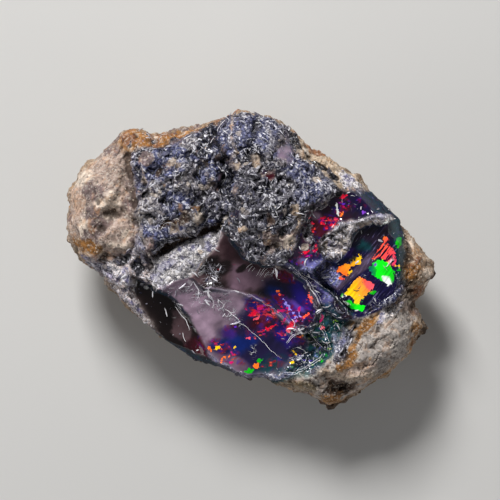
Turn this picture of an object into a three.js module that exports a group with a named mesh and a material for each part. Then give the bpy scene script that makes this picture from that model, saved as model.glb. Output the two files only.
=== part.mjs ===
// Rough black opal: one loose nodule of host rock and grey potch, broken open on its upper face.
// The break shows glassy hollows, ledges and one flat bright facet, and the rest keeps its rough skin.
// Millimetres. +X runs along the stone, +Y across it, +Z up out of the broken face.
// The origin is below the middle of the stone, on the surface that it rests on.

import * as THREE from "three";
import { mergeVertices } from "three/addons/utils/BufferGeometryUtils.js";

// Driving dimensions.
const stoneLength = 27.0;
const stoneWidth = 22.0;
const stoneHeight = 12.0;
const girthHeight = 4.9; // where the stone is widest
const girthRise = 0.07; // how much higher the girth is for each millimetre towards the peak
const restDepth = 0.25; // how much of the rounded underside the flat it rests on takes away
const skinAbove = 0.7; // how far the lost skin stood above the broken face
const meshDetail = 21; // 20 * (detail + 1)^2 triangles
const meshMovedUp = 0.28; // share of the mesh moved from the underside to the detailed top
const wear = 0.4; // how far the sharpest points of the broken edges are taken down

// How full the rounded body is: 2 is an ellipse, larger is squarer.
const topFullness = 2.6;
const undersideFullness = 2.2;

// The widest outline seen from above, anticlockwise from the right-hand end.
const outline = [
  [13.5, -1.0], [13.4, -0.2], [12.6, 0.8], [11.2, 2.2], [11.0, 3.0], [9.7, 4.2], [8.5, 5.5],
  [8.0, 6.3], [6.3, 7.1], [5.4, 7.8], [4.6, 8.1], [4.0, 8.8], [2.4, 10.2], [1.2, 10.8],
  [-0.3, 11.0], [-1.9, 10.6], [-2.6, 10.3], [-4.4, 9.9], [-5.7, 9.6], [-6.5, 9.3], [-7.4, 9.4],
  [-8.5, 9.7], [-9.5, 9.3], [-11.4, 7.5], [-12.7, 6.3], [-13.3, 4.6], [-13.5, 2.9],
  [-13.2, 1.4], [-12.5, 0.2], [-10.6, -1.5], [-9.6, -2.9], [-6.7, -5.6], [-4.1, -7.4],
  [-2.2, -8.0], [-0.1, -8.9], [1.0, -8.7], [2.8, -9.5], [4.8, -10.2], [5.9, -11.0],
  [7.7, -10.1], [10.2, -8.4], [11.8, -7.0], [12.0, -6.2], [12.8, -5.0], [12.4, -4.1],
  [12.1, -3.5], [12.9, -2.1],
];

// The faces that tile the top: the border in plan, then the height at the middle point, the rise
// per millimetre along X and Y, the hollow (positive) or crown (negative), the softness of the
// border, and the height of the lumps that its surface carries.
const faces = {
  nodule: {
    border: [
      [-14.0, 3.2], [-13.4, 5.4], [-12.0, 7.4], [-10.2, 9.0], [-8.7, 7.9], [-8.2, 4.0],
      [-8.1, 1.8], [-9.0, 0.6], [-11.1, -0.2], [-12.8, 0.1],
    ],
    middle: [-11.0, 4.0], level: 9.4, rise: [0.08, 0], hollow: -0.065, edge: 0.6, lumps: 0.45,
  },
  ochreRim: {
    border: [
      [-10.2, 8.7], [-9.5, 9.8], [-6.7, 10.0], [-2.6, 10.9], [-2.2, 10.1], [-5.8, 8.7],
      [-8.6, 7.9],
    ],
    middle: [-6.0, 9.0], level: 9.3, rise: [0.08, -0.5], hollow: 0, edge: 0.5, lumps: 0.35,
  },
  leftCrust: {
    border: [
      [-8.6, 7.9], [-5.8, 8.7], [-2.2, 10.1], [-1.4, 8.7], [-1.1, 6.2], [-1.4, 3.3],
      [-2.2, 2.6], [-3.5, 2.2], [-6.7, 0.7], [-8.1, 0.7], [-8.2, 4.0],
    ],
    middle: [-4.8, 4.8], level: 10.5, rise: [0.08, -0.04], hollow: -0.016, edge: 0.45, lumps: 0.6,
  },
  peakCrust: {
    border: [
      [-2.2, 10.1], [-0.3, 11.4], [2.4, 10.8], [3.3, 8.7], [3.8, 7.4], [5.5, 6.1], [6.4, 5.1],
      [4.4, 4.0], [3.7, 2.5], [3.2, 1.1], [2.4, -0.2], [1.0, -0.2], [-0.3, 0.3], [-1.3, 1.4],
      [-1.7, 2.3], [-1.4, 3.3], [-1.1, 6.2], [-1.4, 8.7],
    ],
    middle: [0.8, 5.0], level: 11.5, rise: [-0.03, 0.02], hollow: -0.026, edge: 0.45, lumps: 0.5,
  },
  tanSlab: {
    border: [
      [2.1, 11.0], [4.4, 9.0], [6.8, 7.8], [9.0, 6.0], [8.6, 5.2], [6.8, 5.1], [5.9, 6.0],
      [3.8, 7.4], [3.1, 9.0],
    ],
    middle: [5.5, 7.2], level: 9.7, rise: [-0.3, -0.35], hollow: 0, edge: 0.45, lumps: 0.12,
  },
  redSlope: {
    border: [
      [4.4, 4.0], [5.6, 4.6], [6.8, 5.2], [8.3, 5.4], [11.3, 3.3], [10.2, 3.4], [8.3, 3.1],
      [7.2, 2.9], [6.4, 2.6], [5.6, 2.1], [5.0, 1.3], [5.0, 0.6], [5.1, -0.3], [3.5, -0.6],
      [2.8, 0.1], [3.2, 1.1], [3.7, 2.5],
    ],
    middle: [7.0, 3.3], level: 9.2, rise: [-0.24, 0.04], hollow: 0.015, edge: 0.45, lumps: 0.22,
  },
  brightFacet: {
    border: [
      [6.1, -0.2], [6.9, 0.6], [7.4, 1.5], [7.8, 2.2], [8.3, 2.6], [9.4, 2.7], [10.5, 3.0],
      [11.4, 2.6], [11.2, -2.2], [10.7, -2.9], [9.6, -3.7], [7.9, -4.2], [6.0, -2.6],
      [5.1, -2.0], [4.8, -0.8], [5.6, 0.0],
    ],
    middle: [8.4, -0.8], level: 8.2, rise: [-0.05, 0.08], hollow: 0, edge: 0.35, lumps: 0,
  },
  ledgeRock: {
    border: [
      [5.0, 1.3], [5.6, 2.1], [6.4, 2.6], [7.2, 2.9], [8.3, 3.1], [10.2, 3.4], [10.5, 3.0],
      [9.4, 2.7], [8.3, 2.6], [7.8, 2.2], [7.4, 1.5], [6.9, 0.6], [6.1, -0.2], [5.6, 0.0],
      [5.1, 0.7],
    ],
    middle: [7.0, 1.7], level: 9.3, rise: [-0.15, 0.2], hollow: 0, edge: 0.35, lumps: 0.35,
  },
  upperBowl: {
    border: [
      [-1.9, 2.2], [-1.3, 1.4], [-0.3, 0.3], [1.0, -0.2], [2.4, -0.3], [3.5, -1.0],
      [4.5, -2.0], [5.2, -3.3], [4.7, -4.6], [3.7, -5.4], [2.4, -3.8], [0.8, -2.8],
      [-1.4, -2.2], [-3.3, -2.3], [-4.2, -1.3], [-3.2, 0.1], [-2.2, 1.4],
    ],
    middle: [1.0, -2.2], level: 8.0, rise: [0.02, 0.28], hollow: 0.045, edge: 0.35, lumps: 0,
  },
  lowerBowl: {
    border: [
      [-6.8, -2.2], [-5.8, -1.8], [-4.2, -1.3], [-3.3, -2.3], [-1.4, -2.2], [0.8, -2.8],
      [2.4, -3.8], [3.7, -5.4], [4.4, -6.2], [3.5, -7.5], [2.2, -8.4], [0.9, -9.0],
      [-0.3, -9.2], [-2.2, -8.2], [-3.4, -6.3], [-4.4, -4.3], [-5.5, -2.9],
    ],
    middle: [-0.5, -5.6], level: 6.6, rise: [0, 0.26], hollow: 0.04, edge: 0.35, lumps: 0,
  },
  chips: {
    border: [
      [3.7, -5.4], [4.7, -4.6], [5.2, -3.3], [6.3, -4.3], [7.3, -4.7], [6.7, -5.9],
      [6.1, -7.2], [4.3, -8.6], [2.8, -9.1], [1.3, -8.8], [2.4, -8.2], [3.5, -7.3],
      [4.4, -6.2],
    ],
    middle: [4.8, -6.2], level: 7.3, rise: [0.05, 0.2], hollow: 0, edge: 0.35, lumps: 0.15,
  },
  ridge: {
    border: [
      [2.3, -0.2], [4.3, -1.0], [6.1, -2.6], [7.5, -4.3], [6.3, -4.3], [5.2, -3.3],
      [4.5, -2.0], [3.4, -1.0],
    ],
    middle: [4.8, -2.2], level: 8.8, rise: [-0.14, 0.1], hollow: 0, edge: 0.35, lumps: 0,
  },
  paleBlock: {
    border: [
      [-6.6, 0.7], [-5.0, 1.2], [-3.4, 1.9], [-2.0, 2.5], [-1.9, 1.7], [-3.2, 0.1],
      [-4.1, -1.1], [-5.6, -1.7], [-6.9, -2.3], [-7.3, -1.2],
    ],
    middle: [-4.6, 0.2], level: 9.4, rise: [0.02, 0.14], hollow: 0, edge: 0.35, lumps: 0.12,
  },
  darkSide: {
    border: [
      [-8.6, -1.1], [-7.3, -1.8], [-6.8, -2.2], [-5.5, -2.9], [-4.4, -4.3], [-3.4, -6.3],
      [-2.2, -8.4], [-4.3, -8.2], [-6.7, -6.0], [-7.9, -4.3], [-8.8, -2.6],
    ],
    middle: [-6.0, -4.2], level: 6.7, rise: [0.32, 0.36], hollow: 0.02, edge: 0.35, lumps: 0.05,
  },
  lowerRim: {
    border: [
      [-12.8, 0.1], [-11.1, -0.2], [-9.0, 0.6], [-8.1, 1.4], [-7.3, -0.2], [-7.2, -1.5],
      [-8.4, -1.1], [-8.6, -2.6], [-7.7, -4.3], [-6.3, -6.4], [-7.4, -6.0], [-10.6, -2.4],
    ],
    middle: [-9.3, -1.2], level: 7.9, rise: [0.1, 0.3], hollow: -0.03, edge: 0.45, lumps: 0.3,
  },
  matrixBlock: {
    border: [
      [6.7, -4.9], [8.1, -4.4], [9.6, -3.8], [10.8, -2.9], [11.2, -2.1], [12.3, -3.5],
      [13.4, -5.0], [12.3, -6.6], [11.2, -8.2], [8.6, -10.2], [5.9, -11.6], [4.5, -10.6],
      [2.8, -9.8], [1.8, -9.3], [3.5, -8.6], [5.4, -7.8], [6.3, -6.6],
    ],
    middle: [8.6, -6.3], level: 7.7, rise: [-0.1, 0.12], hollow: -0.035, edge: 0.45, lumps: 0.35,
  },
  knob: {
    border: [
      [11.1, 2.6], [12.6, 1.4], [14.0, -0.8], [13.4, -2.3], [12.3, -3.6], [11.2, -2.8],
      [11.1, -1.9],
    ],
    middle: [12.2, -0.5], level: 7.3, rise: [0, 0.05], hollow: -0.16, edge: 0.45, lumps: 0.3,
  },
};

// Crests (positive) and clefts (negative) along a line: how far they stand out, and how wide.
const creases = {
  underCrust: { path: [[-6.9, 0.5], [-5.0, 1.3], [-3.4, 2.0], [-2.1, 2.5]], stand: -1.1, width: 0.45 },
  ledgeTop: { path: [[5.5, 1.7], [6.6, 2.5], [8.2, 3.0], [10.2, 3.3]], stand: 0.35, width: 0.45 },
  betweenBowls: {
    path: [[-3.3, -2.1], [-1.3, -2.3], [0.8, -3.0], [2.7, -4.6], [3.4, -5.4]], stand: 0.3, width: 0.45,
  },
  ridge: { path: [[2.3, -0.3], [3.5, -1.1], [5.1, -2.2], [7.4, -4.0]], stand: 0.35, width: 0.4 },
  ridgeFoot: { path: [[3.2, -0.6], [4.3, -1.9], [5.0, -3.3], [5.5, -4.8]], stand: 0.25, width: 0.4 },
  underFacet: { path: [[5.2, -1.8], [6.3, -2.8], [7.5, -3.9]], stand: -0.8, width: 0.4 },
  chalkyRim: { path: [[-12.4, 0.0], [-10.2, -1.4], [-8.9, -3.0], [-7.5, -4.9]], stand: 0.35, width: 0.6 },
  hostShelf: { path: [[5.0, -8.2], [7.0, -8.8], [8.9, -8.5]], stand: 0.5, width: 0.5 },
  besideNodule: { path: [[-8.5, 6.4], [-8.2, 4.4], [-8.2, 1.4]], stand: -0.15, width: 0.5 },
  insideSlab: { path: [[3.1, 9.2], [4.4, 7.4], [6.2, 6.1]], stand: -0.5, width: 0.45 },
  leftFold: { path: [[-2.8, 10.2], [-2.4, 8.7], [-1.7, 7.3], [-1.7, 6.0]], stand: -0.6, width: 0.45 },
  middleFold: { path: [[-1.2, 10.7], [-1.4, 9.4], [-1.1, 8.0], [-0.6, 6.9]], stand: 0.45, width: 0.45 },
  rightFold: { path: [[0.6, 10.4], [0.3, 8.9], [-0.1, 7.6]], stand: -0.5, width: 0.45 },
  farFold: { path: [[1.3, 10.2], [1.6, 8.6], [1.2, 7.2]], stand: 0.4, width: 0.45 },
};

// Single lumps (positive) and pits (negative).
const bosses = [
  { at: [-3.8, 3.4], stand: 0.6, radius: 0.7 }, // cream pebble
  { at: [-0.5, 2.3], stand: 0.4, radius: 0.5 }, // tan pebble
  { at: [0.5, 7.4], stand: -0.5, radius: 0.7 },
  { at: [-6.3, 3.0], stand: -0.7, radius: 0.9 },
  { at: [-2.2, 5.6], stand: -0.5, radius: 1.0 },
  { at: [-5.6, 6.2], stand: 0.5, radius: 1.2 },
  { at: [2.9, 5.4], stand: -0.5, radius: 0.8 },
  { at: [1.4, 3.3], stand: 0.4, radius: 1.1 },
  { at: [-11.8, 5.8], stand: 0.4, radius: 1.0 },
  { at: [-10.2, 2.6], stand: -0.4, radius: 0.8 },
  { at: [-3.3, -0.9], stand: -0.6, radius: 0.8 }, // dark recess beside the pale block
  { at: [4.3, -6.9], stand: -0.8, radius: 0.9 }, // cup at the foot of the bowl
  { at: [6.8, -9.7], stand: -1.6, radius: 1.0 }, // hollow under the shelf
  { at: [10.6, -5.6], stand: 0.4, radius: 1.0 },
  { at: [12.4, -3.3], stand: -0.7, radius: 0.7 }, // gap between knob and block
  { at: [3.4, -7.0], stand: -0.25, radius: 0.5 }, // small ring in the lower hollow
];

// Rough breaks across the underside, each a plane that takes away what lies below it.
const undersideBreaks = [
  { at: [-9.0, 3.0], height: 2.0, rise: [-0.62, 0.12] },
  { at: [-7.0, -3.5], height: 2.3, rise: [-0.3, -0.75] },
  { at: [4.0, -7.5], height: 2.0, rise: [0.12, -0.72] },
  { at: [9.5, -2.5], height: 2.2, rise: [0.7, -0.1] },
  { at: [6.5, 5.5], height: 2.6, rise: [0.55, 0.6] },
  { at: [-2.0, 8.0], height: 2.2, rise: [-0.08, 0.85] },
];

// Distance from the stone's middle to the outline, in the direction of the unit vector (ux, uy).
function reachOfOutline(ux, uy) {
  for (let i = 0; i < outline.length; i++) {
    const [ax, ay] = outline[i];
    const [bx, by] = outline[(i + 1) % outline.length];
    const turn = ux * (by - ay) - uy * (bx - ax);
    const reach = (ax * by - ay * bx) / turn;
    const along = (ax * uy - ay * ux) / turn;
    if (reach > 0 && along >= 0 && along <= 1) return reach;
  }
  throw new Error("the outline leaves a direction open");
}

function distanceToSegment(x, y, [ax, ay], [bx, by]) {
  const along = ((x - ax) * (bx - ax) + (y - ay) * (by - ay)) / ((bx - ax) ** 2 + (by - ay) ** 2);
  const t = THREE.MathUtils.clamp(along, 0, 1);
  return Math.hypot(x - ax - t * (bx - ax), y - ay - t * (by - ay));
}

function distanceToPath(x, y, path) {
  let nearest = Infinity;
  for (let i = 1; i < path.length; i++) {
    nearest = Math.min(nearest, distanceToSegment(x, y, path[i - 1], path[i]));
  }
  return nearest;
}

// Distance to a closed border, positive inside it.
function depthInside(x, y, border) {
  let inside = false;
  for (let i = 0; i < border.length; i++) {
    const [ax, ay] = border[i];
    const [bx, by] = border[(i + 1) % border.length];
    if (ay > y !== by > y && x < ax + ((bx - ax) * (y - ay)) / (by - ay)) inside = !inside;
  }
  const distance = distanceToPath(x, y, [...border, border[0]]);
  return inside ? distance : -distance;
}

// The lesser of two heights, rounded over where they cross.
function roundedMinimum(a, b, rounding) {
  const h = Math.max(rounding - Math.abs(a - b), 0) / rounding;
  return Math.min(a, b) - (h * h * rounding) / 4;
}

function roundedMaximum(a, b, rounding) {
  return -roundedMinimum(-a, -b, rounding);
}

function planeHeight(plane, x, y) {
  const [mx, my] = plane.middle ?? plane.at;
  return (plane.level ?? plane.height) + plane.rise[0] * (x - mx) + plane.rise[1] * (y - my);
}

// A fixed value between -1 and 1 for each point of a unit lattice.
function latticeValue(i, j, k) {
  const wave = Math.sin(i * 127.1 + j * 311.7 + k * 74.7) * 43758.5453;
  return 2 * (wave - Math.floor(wave)) - 1;
}

// The lattice values, blended smoothly in between.
function smoothNoise(x, y, z) {
  const [i, j, k] = [Math.floor(x), Math.floor(y), Math.floor(z)];
  const [u, v, w] = [x - i, y - j, z - k].map((t) => t * t * (3 - 2 * t));
  let value = 0;
  for (const [stepX, shareX] of [[0, 1 - u], [1, u]]) {
    for (const [stepY, shareY] of [[0, 1 - v], [1, v]]) {
      for (const [stepZ, shareZ] of [[0, 1 - w], [1, w]]) {
        value += shareX * shareY * shareZ * latticeValue(i + stepX, j + stepY, k + stepZ);
      }
    }
  }
  return value;
}

// Lumps between about -1 and 1: broad ones some 2 mm apart, with smaller ones on them.
function lumpiness(x, y, z) {
  const broad = smoothNoise(0.62 * x + 0.3 * y, 0.62 * y - 0.3 * x, 0.6 * z);
  const small = smoothNoise(1.5 * x - 0.4 * y + 20, 1.5 * y + 0.4 * x, 1.3 * z);
  return 0.9 * broad + 0.6 * small;
}

// Height of the broken and the rough faces of the top, before the body rounds them off.
function faceHeight(x, y) {
  let weightSum = 0;
  let heightSum = 0;
  for (const face of Object.values(faces)) {
    const depth = depthInside(x, y, face.border);
    const weight = THREE.MathUtils.smoothstep(depth, -face.edge, face.edge) + 1e-6 / (1 + depth * depth);
    const spread = (x - face.middle[0]) ** 2 + (y - face.middle[1]) ** 2;
    const height = planeHeight(face, x, y) + face.hollow * spread + face.lumps * lumpiness(x, y, 3);
    weightSum += weight;
    heightSum += weight * height;
  }
  return heightSum / weightSum;
}

function creaseHeight(x, y) {
  let height = 0;
  for (const { path, stand, width } of Object.values(creases)) {
    height += stand * Math.exp(-((distanceToPath(x, y, path) / width) ** 2));
  }
  for (const { at, stand, radius } of bosses) {
    height += stand * Math.exp(-(((x - at[0]) ** 2 + (y - at[1]) ** 2) / radius ** 2));
  }
  return height;
}

// Slides a direction upwards, so that the mesh is finer on the top than on the underside.
function favourTop(point) {
  const fromTop = (1 - point.z) / 2;
  const moved = (1 - meshMovedUp) * fromTop + meshMovedUp * fromTop ** 4;
  const upright = 1 - 2 * moved;
  const sideways = Math.hypot(point.x, point.y);
  const stretch = sideways > 1e-6 ? Math.sqrt(Math.max(0, 1 - upright ** 2)) / sideways : 0;
  point.set(point.x * stretch, point.y * stretch, upright);
}

// Moves a point of the unit sphere to the surface of the stone.
function placeOnStone(point) {
  const sideways = Math.hypot(point.x, point.y);
  const upright = Math.abs(point.z);
  const isTop = point.z >= 0;
  const fullness = isTop ? topFullness : undersideFullness;
  const fill = (sideways ** fullness + upright ** fullness) ** (-1 / fullness);
  const lift = upright * fill;
  const ux = sideways > 1e-6 ? point.x / sideways : 1;
  const uy = sideways > 1e-6 ? point.y / sideways : 0;
  const girth = girthHeight + girthRise * reachOfOutline(ux, uy) * uy;
  const body = isTop
    ? girth + lift * (stoneHeight + skinAbove - girth)
    : girth - lift * (girth + restDepth);
  // Away from the girth the wall draws in by lumps of its own, so it isn't the outline pulled upright.
  const offGirth = 1 - Math.exp(-((lift / 0.3) ** 2));
  const wallLump = 0.5 + 0.5 * lumpiness(ux * 5, uy * 5, body * 0.5);
  const reach = reachOfOutline(ux, uy) * sideways * fill * (1 - 0.1 * offGirth * wallLump);
  const x = ux * reach;
  const y = uy * reach;
  let z = body + 0.35 * lift * lumpiness(x, y, body);
  if (isTop) {
    z = roundedMinimum(z, faceHeight(x, y), 0.8) + creaseHeight(x, y) * Math.min(1, 2 * lift);
  } else {
    for (const cut of undersideBreaks) z = roundedMaximum(z, planeHeight(cut, x, y), 0.5);
    z = Math.max(z, 0);
  }
  point.set(x, y, z);
}

// Wears the points down: each vertex moves part of the way to the middle of its neighbours.
function wearDown(geometry) {
  const positions = geometry.getAttribute("position");
  const corners = geometry.index.array;
  const sums = Array.from({ length: positions.count }, () => new THREE.Vector3());
  const counts = new Array(positions.count).fill(0);
  const point = new THREE.Vector3();
  for (let i = 0; i < corners.length; i += 3) {
    for (let side = 0; side < 3; side++) {
      const here = corners[i + side];
      const next = corners[i + ((side + 1) % 3)];
      sums[here].add(point.fromBufferAttribute(positions, next));
      counts[here] += 1;
    }
  }
  for (let i = 0; i < positions.count; i++) {
    point.fromBufferAttribute(positions, i).lerp(sums[i].divideScalar(counts[i]), wear);
    positions.setXYZ(i, point.x, point.y, point.z);
  }
}

// Brings the geometry to the driving length, width and height, with the origin under its middle.
function fitToSize(geometry) {
  geometry.computeBoundingBox();
  const { min, max } = geometry.boundingBox;
  geometry.translate(-(min.x + max.x) / 2, -(min.y + max.y) / 2, -min.z);
  geometry.scale(stoneLength / (max.x - min.x), stoneWidth / (max.y - min.y), stoneHeight / (max.z - min.z));
}

function stoneGeometry() {
  const sphere = new THREE.IcosahedronGeometry(1, meshDetail);
  sphere.deleteAttribute("normal");
  sphere.deleteAttribute("uv");
  const geometry = mergeVertices(sphere, 1e-4);
  const positions = geometry.getAttribute("position");
  const point = new THREE.Vector3();
  for (let i = 0; i < positions.count; i++) {
    point.fromBufferAttribute(positions, i);
    favourTop(point);
    placeOnStone(point);
    positions.setXYZ(i, point.x, point.y, point.z);
  }
  wearDown(geometry);
  fitToSize(geometry);
  geometry.computeVertexNormals();
  return geometry;
}

const opalStone = new THREE.Mesh(
  stoneGeometry(),
  new THREE.MeshStandardMaterial({ color: 0x4a4650, roughness: 0.6, metalness: 0 }),
);
opalStone.name = "opal_stone";

const stone = new THREE.Group();
stone.name = "rough_black_opal";
stone.add(opalStone);

export default stone;
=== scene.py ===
# A rough black opal, lying on its back: grey crust, sandy host rock and glassy breaks with play of colour.
import math
import bpy
import numpy as np
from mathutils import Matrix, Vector, noise
from mathutils.bvhtree import BVHTree


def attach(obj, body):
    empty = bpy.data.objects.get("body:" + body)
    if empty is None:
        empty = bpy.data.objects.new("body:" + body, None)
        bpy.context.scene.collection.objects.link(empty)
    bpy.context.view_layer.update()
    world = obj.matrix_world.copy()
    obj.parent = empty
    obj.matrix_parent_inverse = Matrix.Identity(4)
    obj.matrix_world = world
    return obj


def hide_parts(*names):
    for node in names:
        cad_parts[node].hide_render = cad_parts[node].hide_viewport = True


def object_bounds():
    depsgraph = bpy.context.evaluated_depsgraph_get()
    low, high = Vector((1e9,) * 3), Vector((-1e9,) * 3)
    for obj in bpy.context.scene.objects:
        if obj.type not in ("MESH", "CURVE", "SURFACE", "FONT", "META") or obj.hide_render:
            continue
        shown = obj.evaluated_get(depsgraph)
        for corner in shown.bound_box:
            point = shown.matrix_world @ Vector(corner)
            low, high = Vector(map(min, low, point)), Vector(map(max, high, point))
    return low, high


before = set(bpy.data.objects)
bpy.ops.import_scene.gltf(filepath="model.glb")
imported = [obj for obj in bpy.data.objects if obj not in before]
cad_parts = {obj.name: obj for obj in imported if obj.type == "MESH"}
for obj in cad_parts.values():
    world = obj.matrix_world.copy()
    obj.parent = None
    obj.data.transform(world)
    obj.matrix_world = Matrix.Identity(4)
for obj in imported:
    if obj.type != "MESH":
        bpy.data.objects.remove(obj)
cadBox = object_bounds()
mm = 0.001
print("frame loaded")

# lengths in millimetres
stone = {
    "node": "opal_stone",
    "girthHeight": 4.9,  # where the stone is widest
    "girthRise": 0.07,  # how much higher the girth is for each millimetre towards the peak
    "restDepth": 0.25,  # how much of the rounded underside the flat it rests on takes away
    "skinTop": 12.7,  # how high the lost skin stood above the break
    "topFullness": 2.6,  # how full the rounded body is: 2 is an ellipse, larger is squarer
    "undersideFullness": 2.2,
    "bodyLumps": 0.35,
    "wallDrawnIn": 0.1,  # how far the lumpy wall lies inside the outline at most, as a share
    "topRounding": 0.8,  # how softly the faces of the top cut into the rounded body
    "lessRoundOnGlass": 0.6,
    "undersideRounding": 0.5,
    "raggedness": 0.22,  # how far the borders between faces wander
    "sideBelow": (0.06, 0.24),  # the climb over which the side gives way to the faces of the top
    "meshDetail": 98,  # 20 * (detail + 1) ** 2 triangles
    "meshMovedUp": 0.45,  # share of the mesh moved from the underside to the detailed top
    # hollow points are darkened with painted shade, in full at this depth
    "hollowDepth": 0.12,  # a pit this deep counts in full
    "smoothings": 10,
    "steepFrom": (0.3, 0.75),  # how upright the normal is where the surface counts as steep and as level
    "outline": [
        (13.5, -1.0), (13.4, -0.2), (12.6, 0.8), (11.2, 2.2), (11.0, 3.0), (9.7, 4.2), (8.5, 5.5),
        (8.0, 6.3), (6.3, 7.1), (5.4, 7.8), (4.6, 8.1), (4.0, 8.8), (2.4, 10.2), (1.2, 10.8),
        (-0.3, 11.0), (-1.9, 10.6), (-2.6, 10.3), (-4.4, 9.9), (-5.7, 9.6), (-6.5, 9.3),
        (-7.4, 9.4), (-8.5, 9.7), (-9.5, 9.3), (-11.4, 7.5), (-12.7, 6.3), (-13.3, 4.6),
        (-13.5, 2.9), (-13.2, 1.4), (-12.5, 0.2), (-10.6, -1.5), (-9.6, -2.9), (-6.7, -5.6),
        (-4.1, -7.4), (-2.2, -8.0), (-0.1, -8.9), (1.0, -8.7), (2.8, -9.5), (4.8, -10.2),
        (5.9, -11.0), (7.7, -10.1), (10.2, -8.4), (11.8, -7.0), (12.0, -6.2), (12.8, -5.0),
        (12.4, -4.1), (12.1, -3.5), (12.9, -2.1),
    ],
}

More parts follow.
